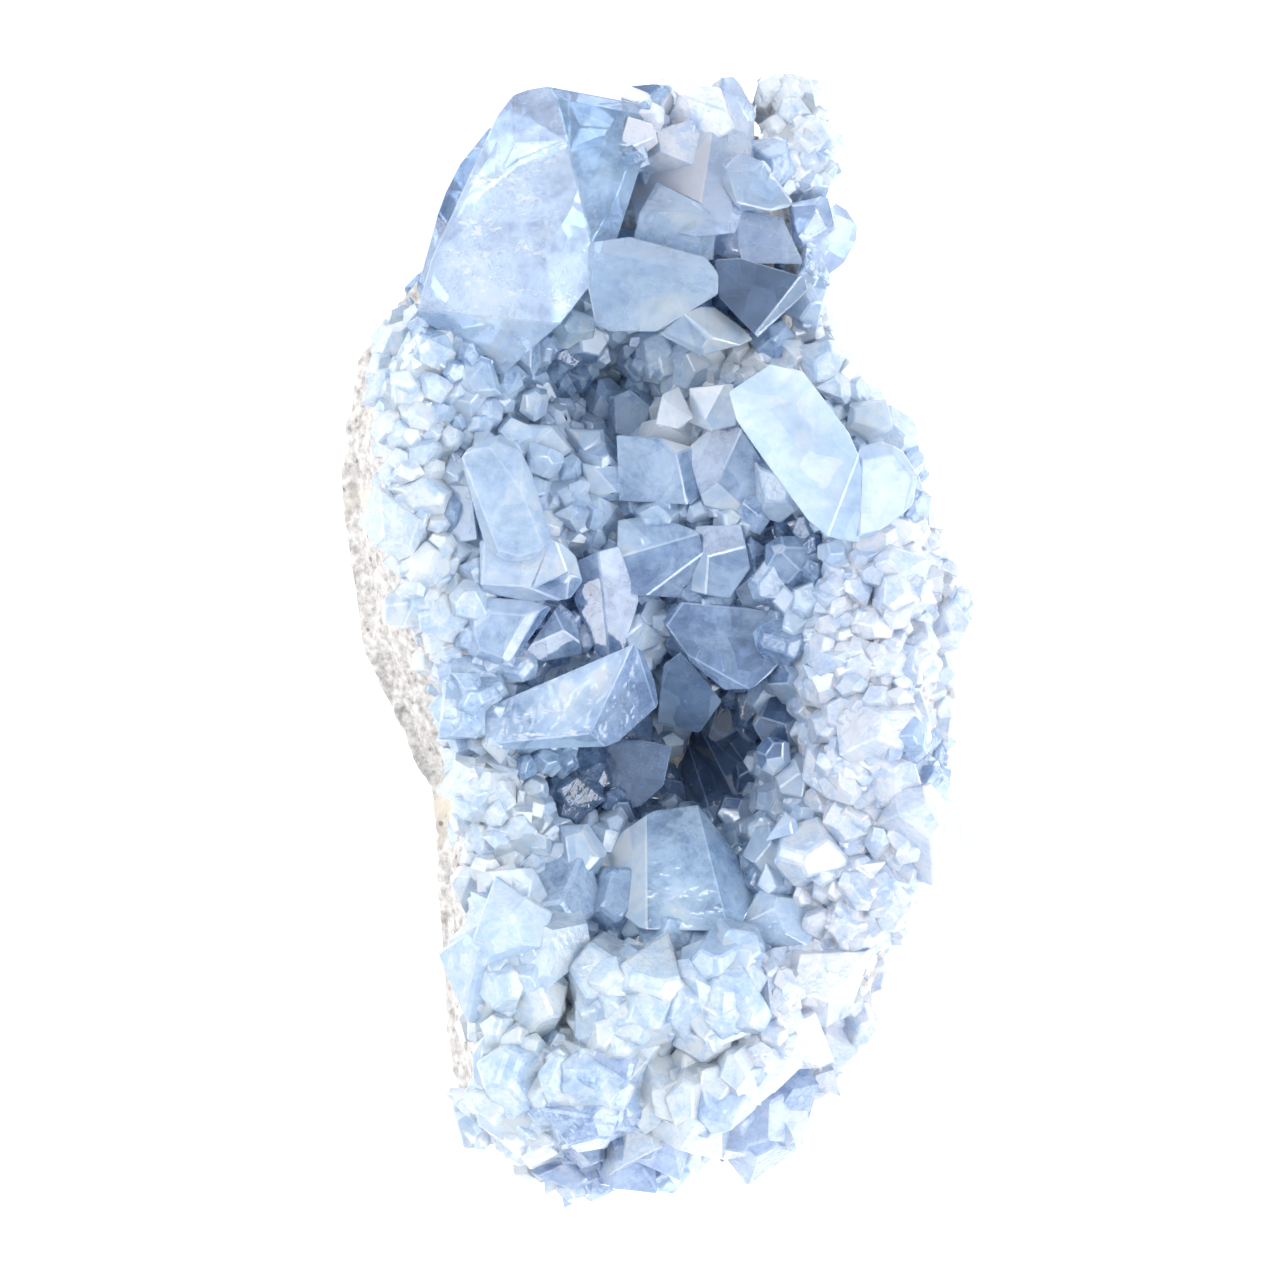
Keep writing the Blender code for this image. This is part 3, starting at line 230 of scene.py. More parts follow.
# Celestite's colours from the darkest hollow to sugary white, and what tints them. The dark end is partly the
# clear crystal's deep blue and partly painted shade for the hollows.
CELESTITE_STOPS = ((0.0, (0.03, 0.05, 0.10)), (0.2, (0.08, 0.14, 0.26)), (0.4, (0.19, 0.30, 0.52)),
                   (0.5, (0.29, 0.43, 0.66)), (0.6, (0.42, 0.58, 0.82)), (0.75, (0.57, 0.74, 0.97)),
                   (0.9, (0.73, 0.86, 1.0)), (1.0, (0.88, 0.94, 1.0)))
TEAL = (0.95, 1.0, 0.975, 1.0)
LILAC = (1.0, 0.955, 1.0, 1.0)
DEPTH_COLOUR = (0.60, 0.76, 0.90, 1.0)
REFRACTION = 1.62

# Patterns in the crystal repeat so many times in a cell, and change the shade by so much
BEND_RATE = 0.6
BEND_REACH = 0.9
INNER_RATE = 1.3
INNER_CHANGE = 0.18
CLOUD_RATE = 0.8
CLOUD_CHANGE = 0.7
VEIL_RATE = 3.5
VEIL_CHANGE = 0.60
CRACK_WIDTH = 0.012
CRACK_CLOUDS = (0.50, 0.60)
CRACK_CHANGE = 0.12
RIPPLE_RATE = 2.0
RIPPLE_HEIGHT = 0.0003

# Painted glints, as small bright flecks, lie in streaks that climb to the right, and crowd together in places
STREAK_TURN = math.radians(35.0)
STREAK_SHAPE = (0.35, 1.0, 1.0)
GLINT_RATE = 2400.0
PAINTED_GLINT_COLOUR = (0.95, 0.975, 1.0, 1.0)
GLINT_LEAST = 0.80
GLINT_SPREAD = 0.24
GLINT_SOFTNESS = 0.06
GLINT_STRENGTH = 0.75
CROWD_RATE = 260.0
CROWD_BAND = (0.42, 0.66)

# The rock's grains, its beige patches and its dark specks, each with how many there are in a metre
ROCK_STOPS = ((0.30, (0.20, 0.19, 0.18)), (0.45, (0.38, 0.36, 0.35)), (0.6, (0.54, 0.52, 0.50)),
              (0.75, (0.74, 0.73, 0.72)))
ROCK_ROUGHNESS = 0.85
GRAIN_RATE = 900.0
GRAIN_HEIGHT = 0.0003
GRAIN_STRENGTH = 0.5
BEIGE = (0.54, 0.48, 0.41, 1.0)
BEIGE_RATE = 90.0
BEIGE_BAND = (0.52, 0.70)
SPECK_COLOUR = (0.13, 0.11, 0.10, 1.0)
SPECK_RATE = 800.0
SPECK_BAND = (0.30, 0.16)
SPECK_PATCH_RATE = 300.0
SPECK_PATCH_BAND = (0.48, 0.62)
SPECK_STRENGTH = 0.8


def tree_of(node):
    return BVHTree.FromObject(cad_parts[node], bpy.context.evaluated_depsgraph_get())


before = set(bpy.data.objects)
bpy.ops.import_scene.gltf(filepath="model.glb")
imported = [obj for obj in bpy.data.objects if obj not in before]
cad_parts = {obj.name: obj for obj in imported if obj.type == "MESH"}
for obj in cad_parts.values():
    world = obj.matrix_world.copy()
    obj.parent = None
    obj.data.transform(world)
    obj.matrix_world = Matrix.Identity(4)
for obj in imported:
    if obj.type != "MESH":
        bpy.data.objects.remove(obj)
bpy.context.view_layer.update()
rock_tree = tree_of("matrix")
crust_tree = tree_of("crystal_crust")
crown_tree = tree_of("crown_crystals")


def smooth(t):
    t = min(max(t, 0.0), 1.0)
    return t * t * (3 - 2 * t)


def along(line, y):
    """The x of a line given as (y, x) points."""
    return float(np.interp(y, [point[0] for point in line], [point[1] for point in line]))


def link(thing):
    bpy.context.scene.collection.objects.link(thing)
    return thing


def add_mesh(name, mesh):
    """A bmesh as an object that is already in place."""
    data = bpy.data.meshes.new(name)
    mesh.to_mesh(data)
    mesh.free()
    return link(bpy.data.objects.new(name, data))


def region_look(x, y, z):
    """The look of a place that no row of the table reaches."""
    bank = smooth((x - along(BANK_EDGE, y)) / BANK_FADE)
    foot = smooth((FOOT_TOP - y) / FOOT_FADE) * smooth((y - FOOT_END) / FOOT_FADE)
    rim = smooth((along(RIM_LINE, y) + RIM_WIDTH - x) / RIM_FADE)
    # The bank, the foot and the left rim come out lighter, partly for their milky white crystals and partly
    # as painted light
    light = max(bank, foot, rim)
    # Painted shade: lower places are darkened, as if shade fell in the depth
    painted_depth_shade = smooth((DEEP_TOP - z) / DEEP_FADE) * (1 - DEEP_LOSS_IN_LIGHT * light)
    shade, milk, tint, sparkle = PLAIN_LOOK
    shade = shade + MILKY_AND_LIT_SHADE * light - PAINTED_DEPTH_SHADE * painted_depth_shade
    return shade, milk + LIGHT_MILK * light, tint + BANK_TINT * bank, sparkle


def look_at(x, y, z):
    """Shade, milk, tint and sparkle at a place in millimetres."""
    nearest, found = 1.0, None
    for rows in FACE_LOOKS.values():
        for row_x, row_y, reach, *look in rows:
            away = math.hypot(x - row_x, y - row_y) / reach
            if away < nearest:
                nearest, found = away, look
    return found or region_look(x, y, z)


def soft_spot(x, y):
    """How much lighter or darker a place is than the rest of its face."""
    total = 0.0
    for row_x, row_y, reach, lift in SOFT_SPOTS:
        total += lift * smooth(1 - math.hypot(x - row_x, y - row_y) / reach)
    return total


def welded_copy(node):
    """A CAD node's surface with its corners joined."""
    mesh = bmesh.new()
    mesh.from_mesh(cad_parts[node].data)
    bmesh.ops.remove_doubles(mesh, verts=mesh.verts, dist=WELD * MM)
    return mesh


def join_flat_faces(mesh):
    bmesh.ops.dissolve_limit(mesh, angle_limit=math.radians(FLAT_ANGLE), verts=mesh.verts, edges=mesh.edges)
    mesh.normal_update()


def broken_edges(mesh):
    """Bevel the longer crystal edges."""
    edges = [edge for edge in mesh.edges
             if len(edge.link_faces) == 2 and edge.calc_length() > BEVEL_MIN_LENGTH * MM
             and edge.calc_face_angle_signed(0.0) > math.radians(BEVEL_MIN_ANGLE)]
    result = bmesh.ops.bevel(mesh, geom=edges, offset=BEVEL_WIDTH * MM, offset_type="OFFSET", segments=1,
                             profile=0.5, affect="EDGES", clamp_overlap=False, material=-1)
    return result["faces"]


def split_finely(mesh):
    """Split flat faces into small triangles, which leaves the shape as it is."""
    bmesh.ops.triangulate(mesh, faces=mesh.faces[:])
    for _ in range(SPLIT_PASSES):
        edges = [edge for edge in mesh.edges if edge.calc_length() > FINE_EDGE * MM]
        bmesh.ops.subdivide_edges(mesh, edges=edges, cuts=1)
        bmesh.ops.triangulate(mesh, faces=[face for face in mesh.faces if len(face.verts) > 3])


def crystal_piece(name, node, material, seed):
    """A crystal node with broken edges and a look of its own on each face."""
    chance = random.Random(seed)
    mesh = welded_copy(node)
    join_flat_faces(mesh)
    tone = mesh.loops.layers.float_color.new("tone")
    for face in mesh.faces:
        shade, milk, tint, sparkle = look_at(*(face.calc_center_median() / MM))
        shade += chance.uniform(*FACE_SHADES)
        for loop in face.loops:
            loop[tone] = (shade, milk, tint, sparkle)
    # Painted highlight: the bevel's faces are lightened, as if their edges caught the light
    for face in broken_edges(mesh):
        for loop in face.loops:
            shade, milk, tint, sparkle = loop[tone]
            loop[tone] = (shade + BEVEL_PAINTED_HIGHLIGHT * (1 - shade), milk, tint, sparkle)
    split_finely(mesh)
    # Lighter and darker spots within the faces, one of them a painted highlight on the lying prism
    for face in mesh.faces:
        for loop in face.loops:
            x, y, z = loop.vert.co / MM
            shade, milk, tint, sparkle = loop[tone]
            loop[tone] = (shade + soft_spot(x, y), milk, tint, sparkle)
    piece = add_mesh(name, mesh)
    piece.data.materials.append(material)
    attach(piece, "root")
    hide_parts(node)


def grown_form(chance, blunt):
    """A crystal of unit width in celestite's habit, cut from a block by its faces' planes."""
    prism = math.radians(PRISM_ANGLE)
    wedge = math.radians(WEDGE_ANGLE)
    roof = math.radians(ROOF_ANGLE)
    length = chance.uniform(*FORM_LENGTHS)
    planes = []
    for side in (1, -1):
        for other in (1, -1):
            planes.append(((side * math.cos(prism), other * math.sin(prism), 0), chance.uniform(*FORM_SIDES)))
        planes.append(((side * math.sin(wedge), 0, math.cos(wedge)),
                       length * math.cos(wedge) * chance.uniform(*FORM_WEDGES)))
        planes.append(((0, side * math.sin(roof), math.cos(roof)),
                       length * math.cos(roof) * chance.uniform(*FORM_ROOFS)))
    if blunt:
        planes.append(((0, 0, 1), length * (1 - blunt)))
    planes.append(((0, 0, -1), FORM_ROOT))
    solid = bmesh.new()
    bmesh.ops.create_cube(solid, size=FORM_BLOCK)
    for normal, distance in planes:
        normal = Vector(normal)
        geometry = solid.verts[:] + solid.edges[:] + solid.faces[:]
        cut = bmesh.ops.bisect_plane(solid, geom=geometry, dist=CUT_SLACK, plane_co=normal * distance,
                                     plane_no=normal, clear_outer=True)
        rim = [item for item in cut["geom_cut"] if isinstance(item, bmesh.types.BMEdge)]
        if rim:
            bmesh.ops.contextual_create(solid, geom=rim)
    bmesh.ops.recalc_face_normals(solid, faces=solid.faces)
    return solid


def points_and_faces(solid):
    solid.verts.index_update()
    points = np.array([vert.co for vert in solid.verts])
    faces = [[vert.index for vert in face.verts] for face in solid.faces]
    solid.free()
    return points, faces


def crystal_forms():
    """The forms that small crystals are copies of."""
    chance = random.Random(FORM_SEED)
    forms = []
    for _ in range(FORM_COUNT):
        solid = grown_form(chance, chance.choice(FORM_BLUNTS))
        bmesh.ops.bevel(solid, geom=solid.edges[:], offset=FORM_BEVEL, segments=1, affect="EDGES",
                        clamp_overlap=True)
        forms.append(points_and_faces(solid))
    return forms


class Surface:
    """Points spread evenly over some CAD nodes, to seat crystals on."""

    def __init__(self, nodes):
        corners = []
        for node in nodes:
            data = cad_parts[node].data
            data.calc_loop_triangles()
            place = np.empty(len(data.vertices) * 3)
            data.vertices.foreach_get("co", place)
            index = np.empty(len(data.loop_triangles) * 3, dtype=np.int64)
            data.loop_triangles.foreach_get("vertices", index)
            corners.append(place.reshape(-1, 3)[index].reshape(-1, 3, 3))
        self.corners = np.concatenate(corners) / MM
        cross = np.cross(self.corners[:, 1] - self.corners[:, 0], self.corners[:, 2] - self.corners[:, 0])
        length = np.linalg.norm(cross, axis=1)
        self.normals = cross / np.maximum(length, 1e-12)[:, None]
        self.areas = length / 2

    def spread(self, count, seed):
        """Random points and the normals there, in millimetres."""
        chance = np.random.default_rng(seed)
        pick = chance.choice(len(self.areas), count, p=self.areas / self.areas.sum())
        u, v = chance.random(count), chance.random(count)
        flip = u + v > 1
        u[flip], v[flip] = 1 - u[flip], 1 - v[flip]
        corners = self.corners[pick]
        points = corners[:, 0] + u[:, None] * (corners[:, 1] - corners[:, 0]) \
            + v[:, None] * (corners[:, 2] - corners[:, 0])
        for place, way in zip(points, self.normals[pick]):
            yield Vector(place), Vector(way)


class Spaced:
    """Keeps seats apart, by a grid of cells."""

    def __init__(self, cell):
        self.cell = cell
        self.cells = {}

    def takes(self, point, spacing):
        key = tuple(int(value // self.cell) for value in point)
        for dx in (-1, 0, 1):
            for dy in (-1, 0, 1):
                for dz in (-1, 0, 1):
                    for other in self.cells.get((key[0] + dx, key[1] + dy, key[2] + dz), ()):
                        if (other - point).length < spacing:
                            return False
        self.cells.setdefault(key, []).append(point)
        return True


class Zone:
    """Places above a height and within spans of x and y, on faces that don't look down too much.

    Rise is the least upward part of a face's normal, from -1 to 1.
    """

    def __init__(self, rise, above=0, x=ANYWHERE, y=ANYWHERE):
        self.rise, self.above, self.x, self.y = rise, above, x, y

    def holds(self, point, normal):
        return (normal.z >= self.rise and point.z > self.above
                and self.x[0] < point.x < self.x[1] and self.y[0] < point.y < self.y[1])


GAP_ZONE = Zone(rise=0.1)
BANK_ZONE = Zone(rise=-0.2, above=20, y=(-52, 9))
FOOT_ZONE = Zone(rise=0, above=19, x=(-16.5, 12), y=(-54, -31.5))
FOOT_CLEFT_ZONE = Zone(rise=-0.2, above=10, x=(-16.5, 14), y=(-55, -34))
LEDGE_ZONE = Zone(rise=-0.25, above=14, x=(9, 99), y=(-99, 40))
RIM_ZONE = Zone(rise=-0.1, above=11, y=(-99, 45))
FRINGE_ZONE = Zone(rise=-0.25, above=12, x=(-17, 18), y=(-99, -46))
HAZE_ZONE = Zone(rise=-0.3, x=(11.5, 99), y=(49, 99))


def near(point, spot):
    x, y, reach = spot
    return math.hypot(point.x - x, point.y - y) < reach


def hidden_under(tree, point, normal):
    """Whether a surface lies over a point."""
    start = (point + normal * SEAT_LIFT) * MM
    return tree.ray_cast(start, Vector((0, 0, 1)), COVER_REACH * MM)[0] is not None


def height_over_rock(point):
    """How high a point is over the rock, or how far the rock was looked for, where there is none."""
    hit = rock_tree.ray_cast(point * MM, Vector((0, 0, -1)), ROCK_REACH * MM)[0]
    return point.z - hit.z / MM if hit is not None else ROCK_REACH


def in_gap(point, normal):
    """The low places between the large crystals, but not the main hollow, and a cleft right of the crown."""
    if near(point, MAIN_HOLLOW) or not GAP_ZONE.holds(point, normal):
        return False
    return height_over_rock(point) < GAP_HEIGHT or near(point, CROWN_CLEFT)


def on_bank(point, normal):
    """The right bank, down to the foot's end."""
    return BANK_ZONE.holds(point, normal) and point.x > along(BANK_EDGE, point.y) + BANK_START


def on_foot(point, normal):
    """Over the large crystals of the lower end, which are all but grown together."""
    return FOOT_ZONE.holds(point, normal) and not hidden_under(crust_tree, point, normal)


def beside_foot(point, normal):
    """In the clefts between the large crystals of the lower end."""
    if normal.z >= CLEFT_RISE or not FOOT_CLEFT_ZONE.holds(point, normal):
        return False
    return height_over_rock(point) < CLEFT_HEIGHT


def on_ledge(point, normal):
    """The rock's right ledge and side."""
    if not LEDGE_ZONE.holds(point, normal):
        return False
    return not hidden_under(crust_tree, point, normal) and not hidden_under(crown_tree, point, normal)


def on_rim(point, normal):
    """Along the left rim, where the crust ends on bare rock, and left of the great block."""
    x, y, z = point
    if not RIM_ZONE.holds(point, normal) or near(point, SPECIMEN_MIDDLE):
        return False
    if y < BLOCK_START and z < RIM_FLOOR:
        return False
    edge = along(RIM_LINE, y)
    ragged = RIM_RAGGED * noise.noise(Vector((x, y, 0)) / RIM_GRAIN)
    if not edge - RIM_OUTSIDE - ragged < x < edge + RIM_INSIDE:
        return False
    return not hidden_under(crown_tree, point, normal)


def on_fringe(point, normal):
    """Round the lower end."""
    return FRINGE_ZONE.holds(point, normal) and not hidden_under(crust_tree, point, normal)


def on_haze(point, normal):
    """The sugary top right of the crown, and the notch right of the great block."""
    notch = near(point, CROWN_NOTCH) and abs(normal.z) < NOTCH_RISE
    return notch or HAZE_ZONE.holds(point, normal)


def wander(way, amount, chance):
    step = Vector((chance.uniform(-1, 1), chance.uniform(-1, 1), chance.uniform(-1, 1)))
    return (way + step * amount).normalized()


class Growth:
    """Small crystals over some nodes, wherever a test says so.

    Widths run from the least to the most, in millimetres. The gap between seats and the depth that a seat
    is sunk are shares of the width. Lean is how far the crystals stray from the normal, and rise how far
    they turn up.
    """

    def __init__(self, wanted, nodes, tries, widths, gap, sink, lean, rise, seed):
        self.wanted, self.nodes, self.tries, self.widths, self.gap = wanted, nodes, tries, widths, gap
        self.sink, self.lean, self.rise, self.seed = sink, lean, rise, seed

    def seats(self):
        """Each seat is (point, axis, width, look), in millimetres."""
        chance = random.Random(self.seed)
        least, most = self.widths
        kept = Spaced(most * self.gap)
        seats = []
        for point, normal in Surface(self.nodes).spread(self.tries, self.seed):
            if not self.wanted(point, normal):
                continue
            width = least + (most - least) * chance.random() ** SMALL_BIAS
            if not kept.takes(point, width * self.gap):
                continue
            shade, milk, tint, sparkle = look_at(*point)
            shade += chance.uniform(*CRYSTAL_SHADES)
            axis = wander(normal + Vector((0, 0, self.rise)), self.lean, chance)
            seats.append((point - normal * self.sink * width, axis, width, (shade, milk, tint, sparkle)))
        return seats


GROWTHS = {
    "gap_crystals": Growth(in_gap, ["crystal_crust"], tries=24000, widths=(3.0, 7.0), gap=0.48, sink=0.10,
                           lean=0.6, rise=0.5, seed=31),
    "bank_crystals": Growth(on_bank, ["crystal_crust"], tries=50000, widths=(3.4, 9.5), gap=0.42, sink=0.34,
                            lean=0.5, rise=0.4, seed=32),
    "foot_crystals": Growth(on_foot, ["crystal_crust"], tries=30000, widths=(6.0, 13.0), gap=0.36, sink=0.42,
                            lean=0.4, rise=0.8, seed=37),
    "cleft_crystals": Growth(beside_foot, ["crystal_crust"], tries=20000, widths=(4.0, 6.5), gap=0.50,
                             sink=0.10, lean=0.3, rise=1.2, seed=38),
    "ledge_crystals": Growth(on_ledge, ["matrix"], tries=60000, widths=(2.8, 6.0), gap=0.44, sink=0.38,
                             lean=0.5, rise=0.4, seed=33),
    "rim_crystals": Growth(on_rim, ["crystal_crust", "matrix"], tries=60000, widths=(3.0, 7.5), gap=0.42,
                           sink=0.42, lean=0.4, rise=0.6, seed=34),
    "fringe_crystals": Growth(on_fringe, ["matrix"], tries=40000, widths=(4.0, 8.0), gap=0.44, sink=0.36,
                              lean=0.4, rise=0.8, seed=35),
    "haze_crystals": Growth(on_haze, ["crown_crystals"], tries=12000, widths=(3.2, 7.0), gap=0.44, sink=0.34,
                            lean=0.5, rise=0.3, seed=36),
}


def grow_crystals(name, seats, forms, material):
    """One mesh of many small crystals."""
    chance = random.Random(TURN_SEED)
    points, faces, tones = [], [], []
    count = 0
    for point, axis, width, look in seats:
        form_points, form_faces = forms[chance.randrange(len(forms))]
        turn = Vector((0, 0, 1)).rotation_difference(axis).to_matrix()
        turn = np.array(turn @ Matrix.Rotation(chance.uniform(0, math.tau), 3, "Z"))
        points.append(form_points @ turn.T * width + np.array(point))
        for face in form_faces:
            faces.append([index + count for index in face])
            shift = chance.uniform(*FACET_SHADES)
            tones.extend([(look[0] + shift, *look[1:])] * len(face))
        count += len(form_points)
    data = bpy.data.meshes.new(name)
    data.from_pydata(np.concatenate(points) * MM, [], faces)
    attribute = data.attributes.new("tone", "FLOAT_COLOR", "CORNER")
    attribute.data.foreach_set("color", np.array(tones, dtype=np.float32).ravel())
    piece = link(bpy.data.objects.new(name, data))
    piece.data.materials.append(material)
    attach(piece, "root")


class Nodes:
    """A short way to build a material's nodes."""

    def __init__(self, name):
        self.material = bpy.data.materials.new(name)
        self.material.use_nodes = True
        self.tree = self.material.node_tree
        self.shader = self.tree.nodes["Principled BSDF"]
        self.output = self.tree.nodes["Material Output"]

    def add(self, kind, inputs=None, **settings):
        node = self.tree.nodes.new(kind)
        for key, value in settings.items():
            setattr(node, key, value)
        for key, value in (inputs or {}).items():
            if isinstance(value, bpy.types.NodeSocket):
                self.tree.links.new(value, node.inputs[key])
            else:
                node.inputs[key].default_value = value
        return node

    def set(self, **values):
        """Plain values on the shader's own sockets."""
        for name, value in values.items():
            self.shader.inputs[name.replace("_", " ")].default_value = value

    def noise(self, place, scale, detail, roughness=0.6):
        return self.add("ShaderNodeTexNoise", {"Vector": place, "Scale": scale, "Detail": detail,
                                               "Roughness": roughness})

    def math(self, operation, first, second=0.0, clamp=False):
        node = self.add("ShaderNodeMath", {0: first, 1: second}, operation=operation, use_clamp=clamp)
        return node.outputs[0]

    def around_zero(self, value, amount):
        """A 0 to 1 value as plus and minus half of an amount."""
        return self.math("MULTIPLY", self.math("SUBTRACT", value, 0.5), amount)

    def band(self, value, start, end):
        """0 at the start and 1 at the end."""
        node = self.add("ShaderNodeMapRange", {"Value": value, "From Min": start, "From Max": end},
                        interpolation_type="SMOOTHSTEP")
        return node.outputs[0]

    def mix(self, factor, first, second, blend="MIX"):
        node = self.add("ShaderNodeMix", data_type="RGBA", blend_type=blend)
        for index, value in ((0, factor), (6, first), (7, second)):
            if isinstance(value, bpy.types.NodeSocket):
                self.tree.links.new(value, node.inputs[index])
            else:
                node.inputs[index].default_value = value
        return node.outputs[2]

    def ramp(self, factor, stops):
        node = self.add("ShaderNodeValToRGB", {0: factor})
        elements = node.color_ramp.elements
        elements[0].position, elements[0].color = stops[0][0], (*stops[0][1], 1)
        elements[1].position, elements[1].color = stops[-1][0], (*stops[-1][1], 1)
        for place, colour in stops[1:-1]:
            element = elements.new(place)
            element.color = (*colour, 1)
        return node.outputs[0]

    def link(self, source, socket):
        self.tree.links.new(source, self.shader.inputs[socket])

    def bump(self, height, strength, distance):
        relief = self.add("ShaderNodeBump", {"Strength": strength, "Distance": distance, "Height": height})
        self.link(relief.outputs[0], "Normal")


def celestite_material(name, cell, transmission, roughness, relief, density=0.0):
    """Cloudy pale blue crystal. A cell is about as wide as an inner face or a cloud, in millimetres."""
    made = Nodes(name)
    tone = made.add("ShaderNodeAttribute", attribute_name="tone")
    parts = made.add("ShaderNodeSeparateColor", {0: tone.outputs["Color"]})
    shade, milk, tint, sparkle = *parts.outputs[:3], tone.outputs["Alpha"]
    place = made.add("ShaderNodeTexCoord").outputs["Object"]
    per_metre = 1 / (cell * MM)
    bend = made.noise(place, per_metre * BEND_RATE, detail=1).outputs["Color"]
    bend = made.add("ShaderNodeVectorMath", {0: bend, "Scale": cell * MM * BEND_REACH},
                    operation="SCALE").outputs[0]
    bent = made.add("ShaderNodeVectorMath", {0: place, 1: bend}).outputs[0]

    # Inner faces, seen through the crystal as flat patches
    faces = made.add("ShaderNodeTexVoronoi", {"Vector": bent, "Scale": per_metre * INNER_RATE})
    inner = made.around_zero(faces.outputs["Color"], INNER_CHANGE)

    # Clouds and veils, stronger where the crystal is milky
    clouds = made.noise(place, per_metre * CLOUD_RATE, detail=3).outputs["Fac"]
    veils = made.noise(bent, per_metre * VEIL_RATE, detail=4, roughness=0.7).outputs["Fac"]
    haze = made.math("ADD", made.around_zero(clouds, CLOUD_CHANGE), made.around_zero(veils, VEIL_CHANGE))
    haze = made.math("MULTIPLY", haze, milk)

    # Healed cracks, as thin light lines that come and go
    middle = made.math("ABSOLUTE", made.math("SUBTRACT", veils, 0.5))
    cracks = made.math("MULTIPLY", made.band(middle, CRACK_WIDTH, 0.0), made.band(clouds, *CRACK_CLOUDS))

    value = made.math("ADD", made.math("ADD", shade, inner), haze)
    value = made.math("ADD", value, made.math("MULTIPLY", cracks, CRACK_CHANGE), clamp=True)
    colour = made.ramp(value, CELESTITE_STOPS)
    colour = made.mix(1.0, colour, made.mix(tint, TEAL, LILAC), "MULTIPLY")

    # Painted glints: bright flecks in streaks, crowded where the crystal sparkles
    streaked = made.add("ShaderNodeMapping", {"Vector": place, "Rotation": (0, 0, STREAK_TURN),
                                              "Scale": STREAK_SHAPE}).outputs[0]
    glint_noise = made.noise(streaked, GLINT_RATE, detail=3).outputs["Fac"]
    crowd = made.band(made.noise(streaked, CROWD_RATE, detail=2).outputs["Fac"], *CROWD_BAND)
    eased = made.math("MULTIPLY", made.math("MULTIPLY", crowd, sparkle), GLINT_SPREAD)
    above = made.math("SUBTRACT", glint_noise, made.math("SUBTRACT", GLINT_LEAST, eased))
    painted_glints = made.math("MULTIPLY", made.band(above, 0.0, GLINT_SOFTNESS), GLINT_STRENGTH)
    made.link(made.mix(painted_glints, colour, PAINTED_GLINT_COLOUR), "Base Color")

    made.set(IOR=REFRACTION, Transmission_Weight=transmission, Roughness=roughness)
    made.bump(made.noise(place, per_metre * RIPPLE_RATE, detail=2).outputs["Fac"], relief, RIPPLE_HEIGHT)
    if density:
        absorb = made.add("ShaderNodeVolumeAbsorption", {"Color": DEPTH_COLOUR, "Density": density})
        made.tree.links.new(absorb.outputs[0], made.output.inputs["Volume"])
    return made.material


def rock_material():
    """Grainy light grey rock, with beige patches and dark specks."""
    made = Nodes("host_rock")
    place = made.add("ShaderNodeTexCoord").outputs["Object"]
    grain = made.noise(place, GRAIN_RATE, detail=6, roughness=0.7).outputs["Fac"]
    colour = made.ramp(grain, ROCK_STOPS)
    patch = made.noise(place, BEIGE_RATE, detail=3).outputs["Fac"]
    colour = made.mix(made.band(patch, *BEIGE_BAND), colour, BEIGE)
    specks = made.add("ShaderNodeTexVoronoi", {"Vector": place, "Scale": SPECK_RATE}).outputs["Distance"]
    gate = made.band(made.noise(place, SPECK_PATCH_RATE, detail=3).outputs["Fac"], *SPECK_PATCH_BAND)
    dark = made.math("MULTIPLY", made.band(specks, *SPECK_BAND), gate)
    colour = made.mix(made.math("MULTIPLY", dark, SPECK_STRENGTH), colour, SPECK_COLOUR)
    made.link(colour, "Base Color")
    made.set(Roughness=ROCK_ROUGHNESS)
    made.bump(grain, GRAIN_STRENGTH, GRAIN_HEIGHT)
    return made.material


def rebuild_finely(piece):
    """Rebuild a piece's surface in fine cells."""
    remesh = piece.modifiers.new("remesh", "REMESH")
    remesh.mode = "VOXEL"
    remesh.voxel_size = ROCK_VOXEL * MM
    bpy.context.view_layer.update()
    graph = bpy.context.evaluated_depsgraph_get()
    data = bpy.data.meshes.new_from_object(piece.evaluated_get(graph))
    piece.modifiers.clear()
    piece.data = data


def roughen(data):
    """Raise lumps and grains on a surface."""
    moved = []
    for vert in data.vertices:
        place = vert.co / MM
        lift = sum(height * noise.noise(place / size) for size, height in ROCK_RELIEF)
        moved.append(vert.co + vert.normal * lift * smooth(place.z / ROCK_SMOOTH_BELOW) * MM)
    for vert, place in zip(data.vertices, moved):
        vert.co = place


def rock_piece():
    """The host rock with a fine, grainy surface."""
    piece = add_mesh("rock", welded_copy("matrix"))
    rebuild_finely(piece)
    roughen(piece.data)
    piece.data.materials.append(rock_material())
    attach(piece, "root")
    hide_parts("matrix")


def add_floor():
    mesh = bmesh.new()
    bmesh.ops.create_grid(mesh, x_segments=1, y_segments=1, size=FLOOR_REACH)
    floor = add_mesh("floor", mesh)
    made = Nodes("floor")
    made.set(Base_Color=FLOOR_COLOUR, Roughness=FLOOR_ROUGHNESS, Emission_Color=(1, 1, 1, 1),
             Emission_Strength=FLOOR_GLOW)
    floor.data.materials.append(made.material)


def add_area_light(name, place, size, power):
    """A square soft light that points at the specimen's middle."""
    data = bpy.data.lights.new(name, "AREA")
    data.energy = power
    data.size = size
    light = link(bpy.data.objects.new(name, data))
    light.location = place
    aim = Vector(LIGHT_AIM) - light.location
    light.rotation_euler = aim.to_track_quat("-Z", "Y").to_euler()


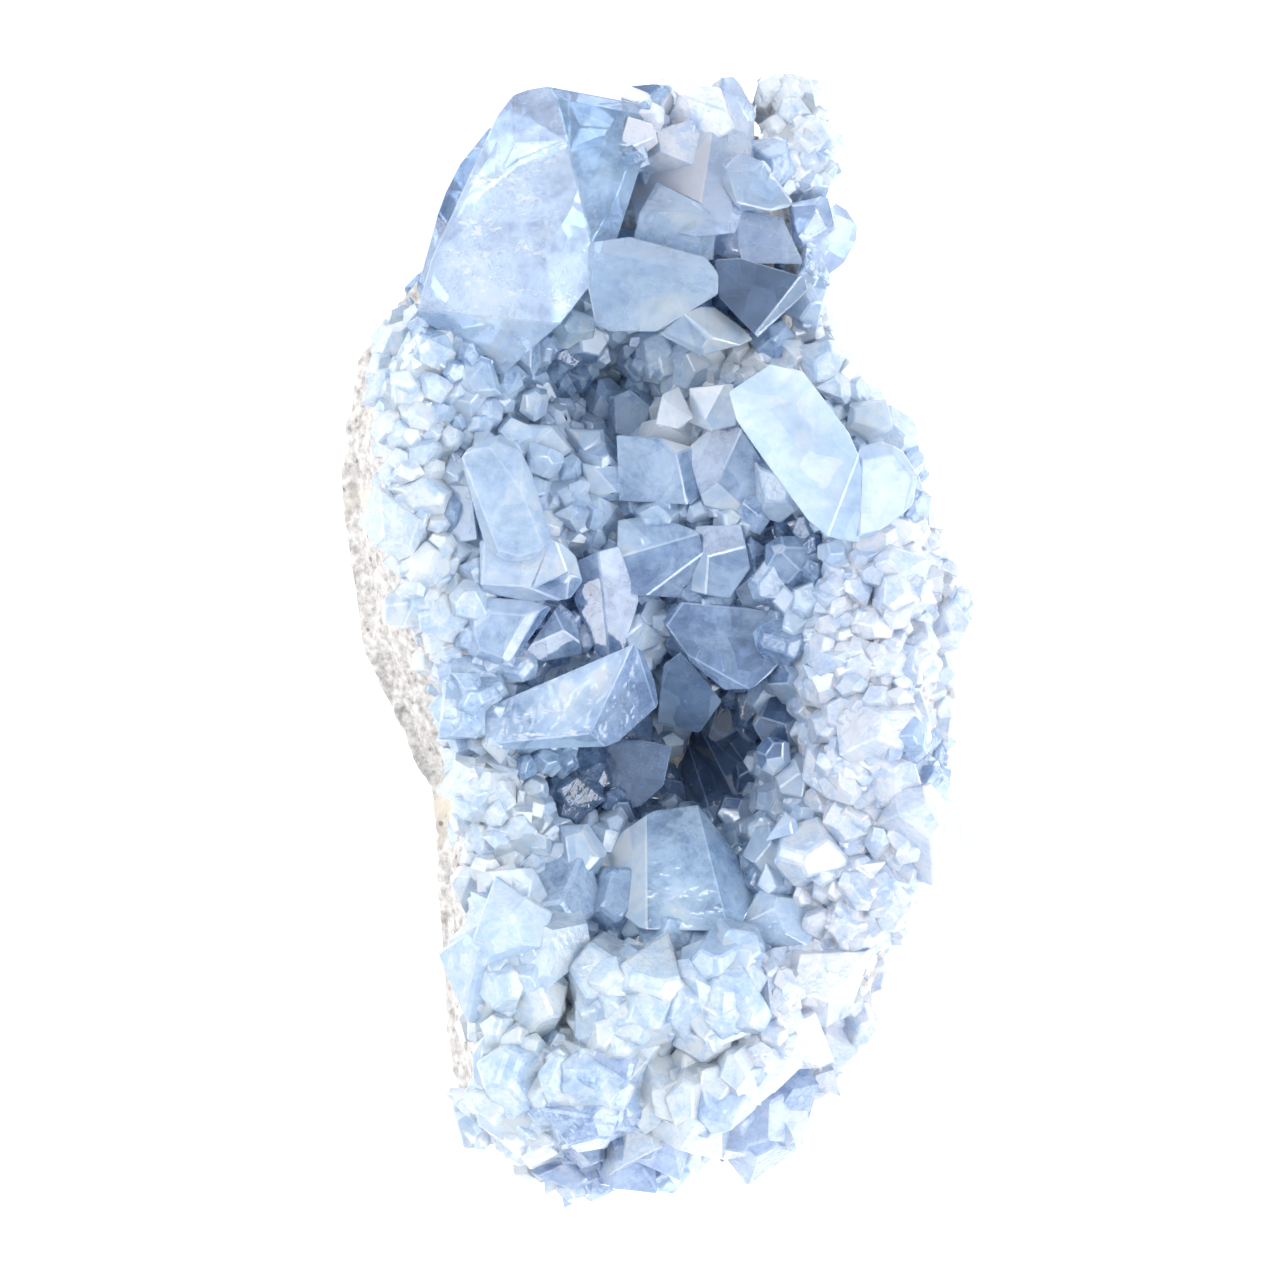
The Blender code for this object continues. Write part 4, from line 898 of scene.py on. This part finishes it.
def add_lights():
    for name, place, size, power in SOFT_LIGHTS:
        add_area_light(name, place, size, power)
    for index, (turn, height) in enumerate(SPARKS):
        x = SPARK_DISTANCE * math.cos(math.radians(turn))
        y = SPARK_DISTANCE * math.sin(math.radians(turn))
        add_area_light(f"spark_{index}", (x, y, height), SPARK_SIZE, SPARK_POWER)


def add_world():
    """A white studio, brighter round the horizon than overhead."""
    world = bpy.data.worlds.new("studio")
    world.use_nodes = True
    bpy.context.scene.world = world
    tree = world.node_tree
    background = tree.nodes["Background"]
    background.inputs["Color"].default_value = SKY_COLOUR
    way = tree.nodes.new("ShaderNodeTexCoord")
    parts = tree.nodes.new("ShaderNodeSeparateXYZ")
    fade = tree.nodes.new("ShaderNodeMapRange")
    tree.links.new(way.outputs["Generated"], parts.inputs[0])
    tree.links.new(parts.outputs[2], fade.inputs["Value"])
    for end, (height, strength) in (("Min", SKY_LOW), ("Max", SKY_HIGH)):
        fade.inputs[f"From {end}"].default_value = height
        fade.inputs[f"To {end}"].default_value = strength
    tree.links.new(fade.outputs[0], background.inputs["Strength"])


def add_camera():
    data = bpy.data.cameras.new("camera")
    data.sensor_width = SENSOR_WIDTH
    data.lens = SENSOR_WIDTH * CAMERA_DISTANCE / SEEN_WIDTH
    camera = link(bpy.data.objects.new("camera", data))
    camera.location = Vector(CAMERA_PLACE) * MM
    bpy.context.scene.camera = camera


cloudy = celestite_material("celestite", cell=4.5, transmission=0.62, roughness=0.05, relief=0.2)
clear = celestite_material("clear_celestite", cell=6.0, transmission=0.70, roughness=0.04, relief=0.12,
                           density=12.0)
sugary = celestite_material("sugary_celestite", cell=1.8, transmission=0.60, roughness=0.06, relief=0.45)

crystal_piece("crust", "crystal_crust", cloudy, seed=1)
crystal_piece("crown", "crown_crystals", clear, seed=2)
rock_piece()

forms = crystal_forms()
for name, growth in GROWTHS.items():
    grow_crystals(name, growth.seats(), forms, sugary)

add_floor()
add_world()
add_lights()
add_camera()

scene = bpy.context.scene
scene.cycles.use_adaptive_sampling = True
scene.cycles.adaptive_threshold = 0.15
scene.cycles.max_bounces = 7
scene.cycles.transmission_bounces = 6
scene.cycles.diffuse_bounces = 4
scene.cycles.glossy_bounces = 2
scene.view_settings.view_transform = "Standard"
scene.view_settings.exposure = 0.0
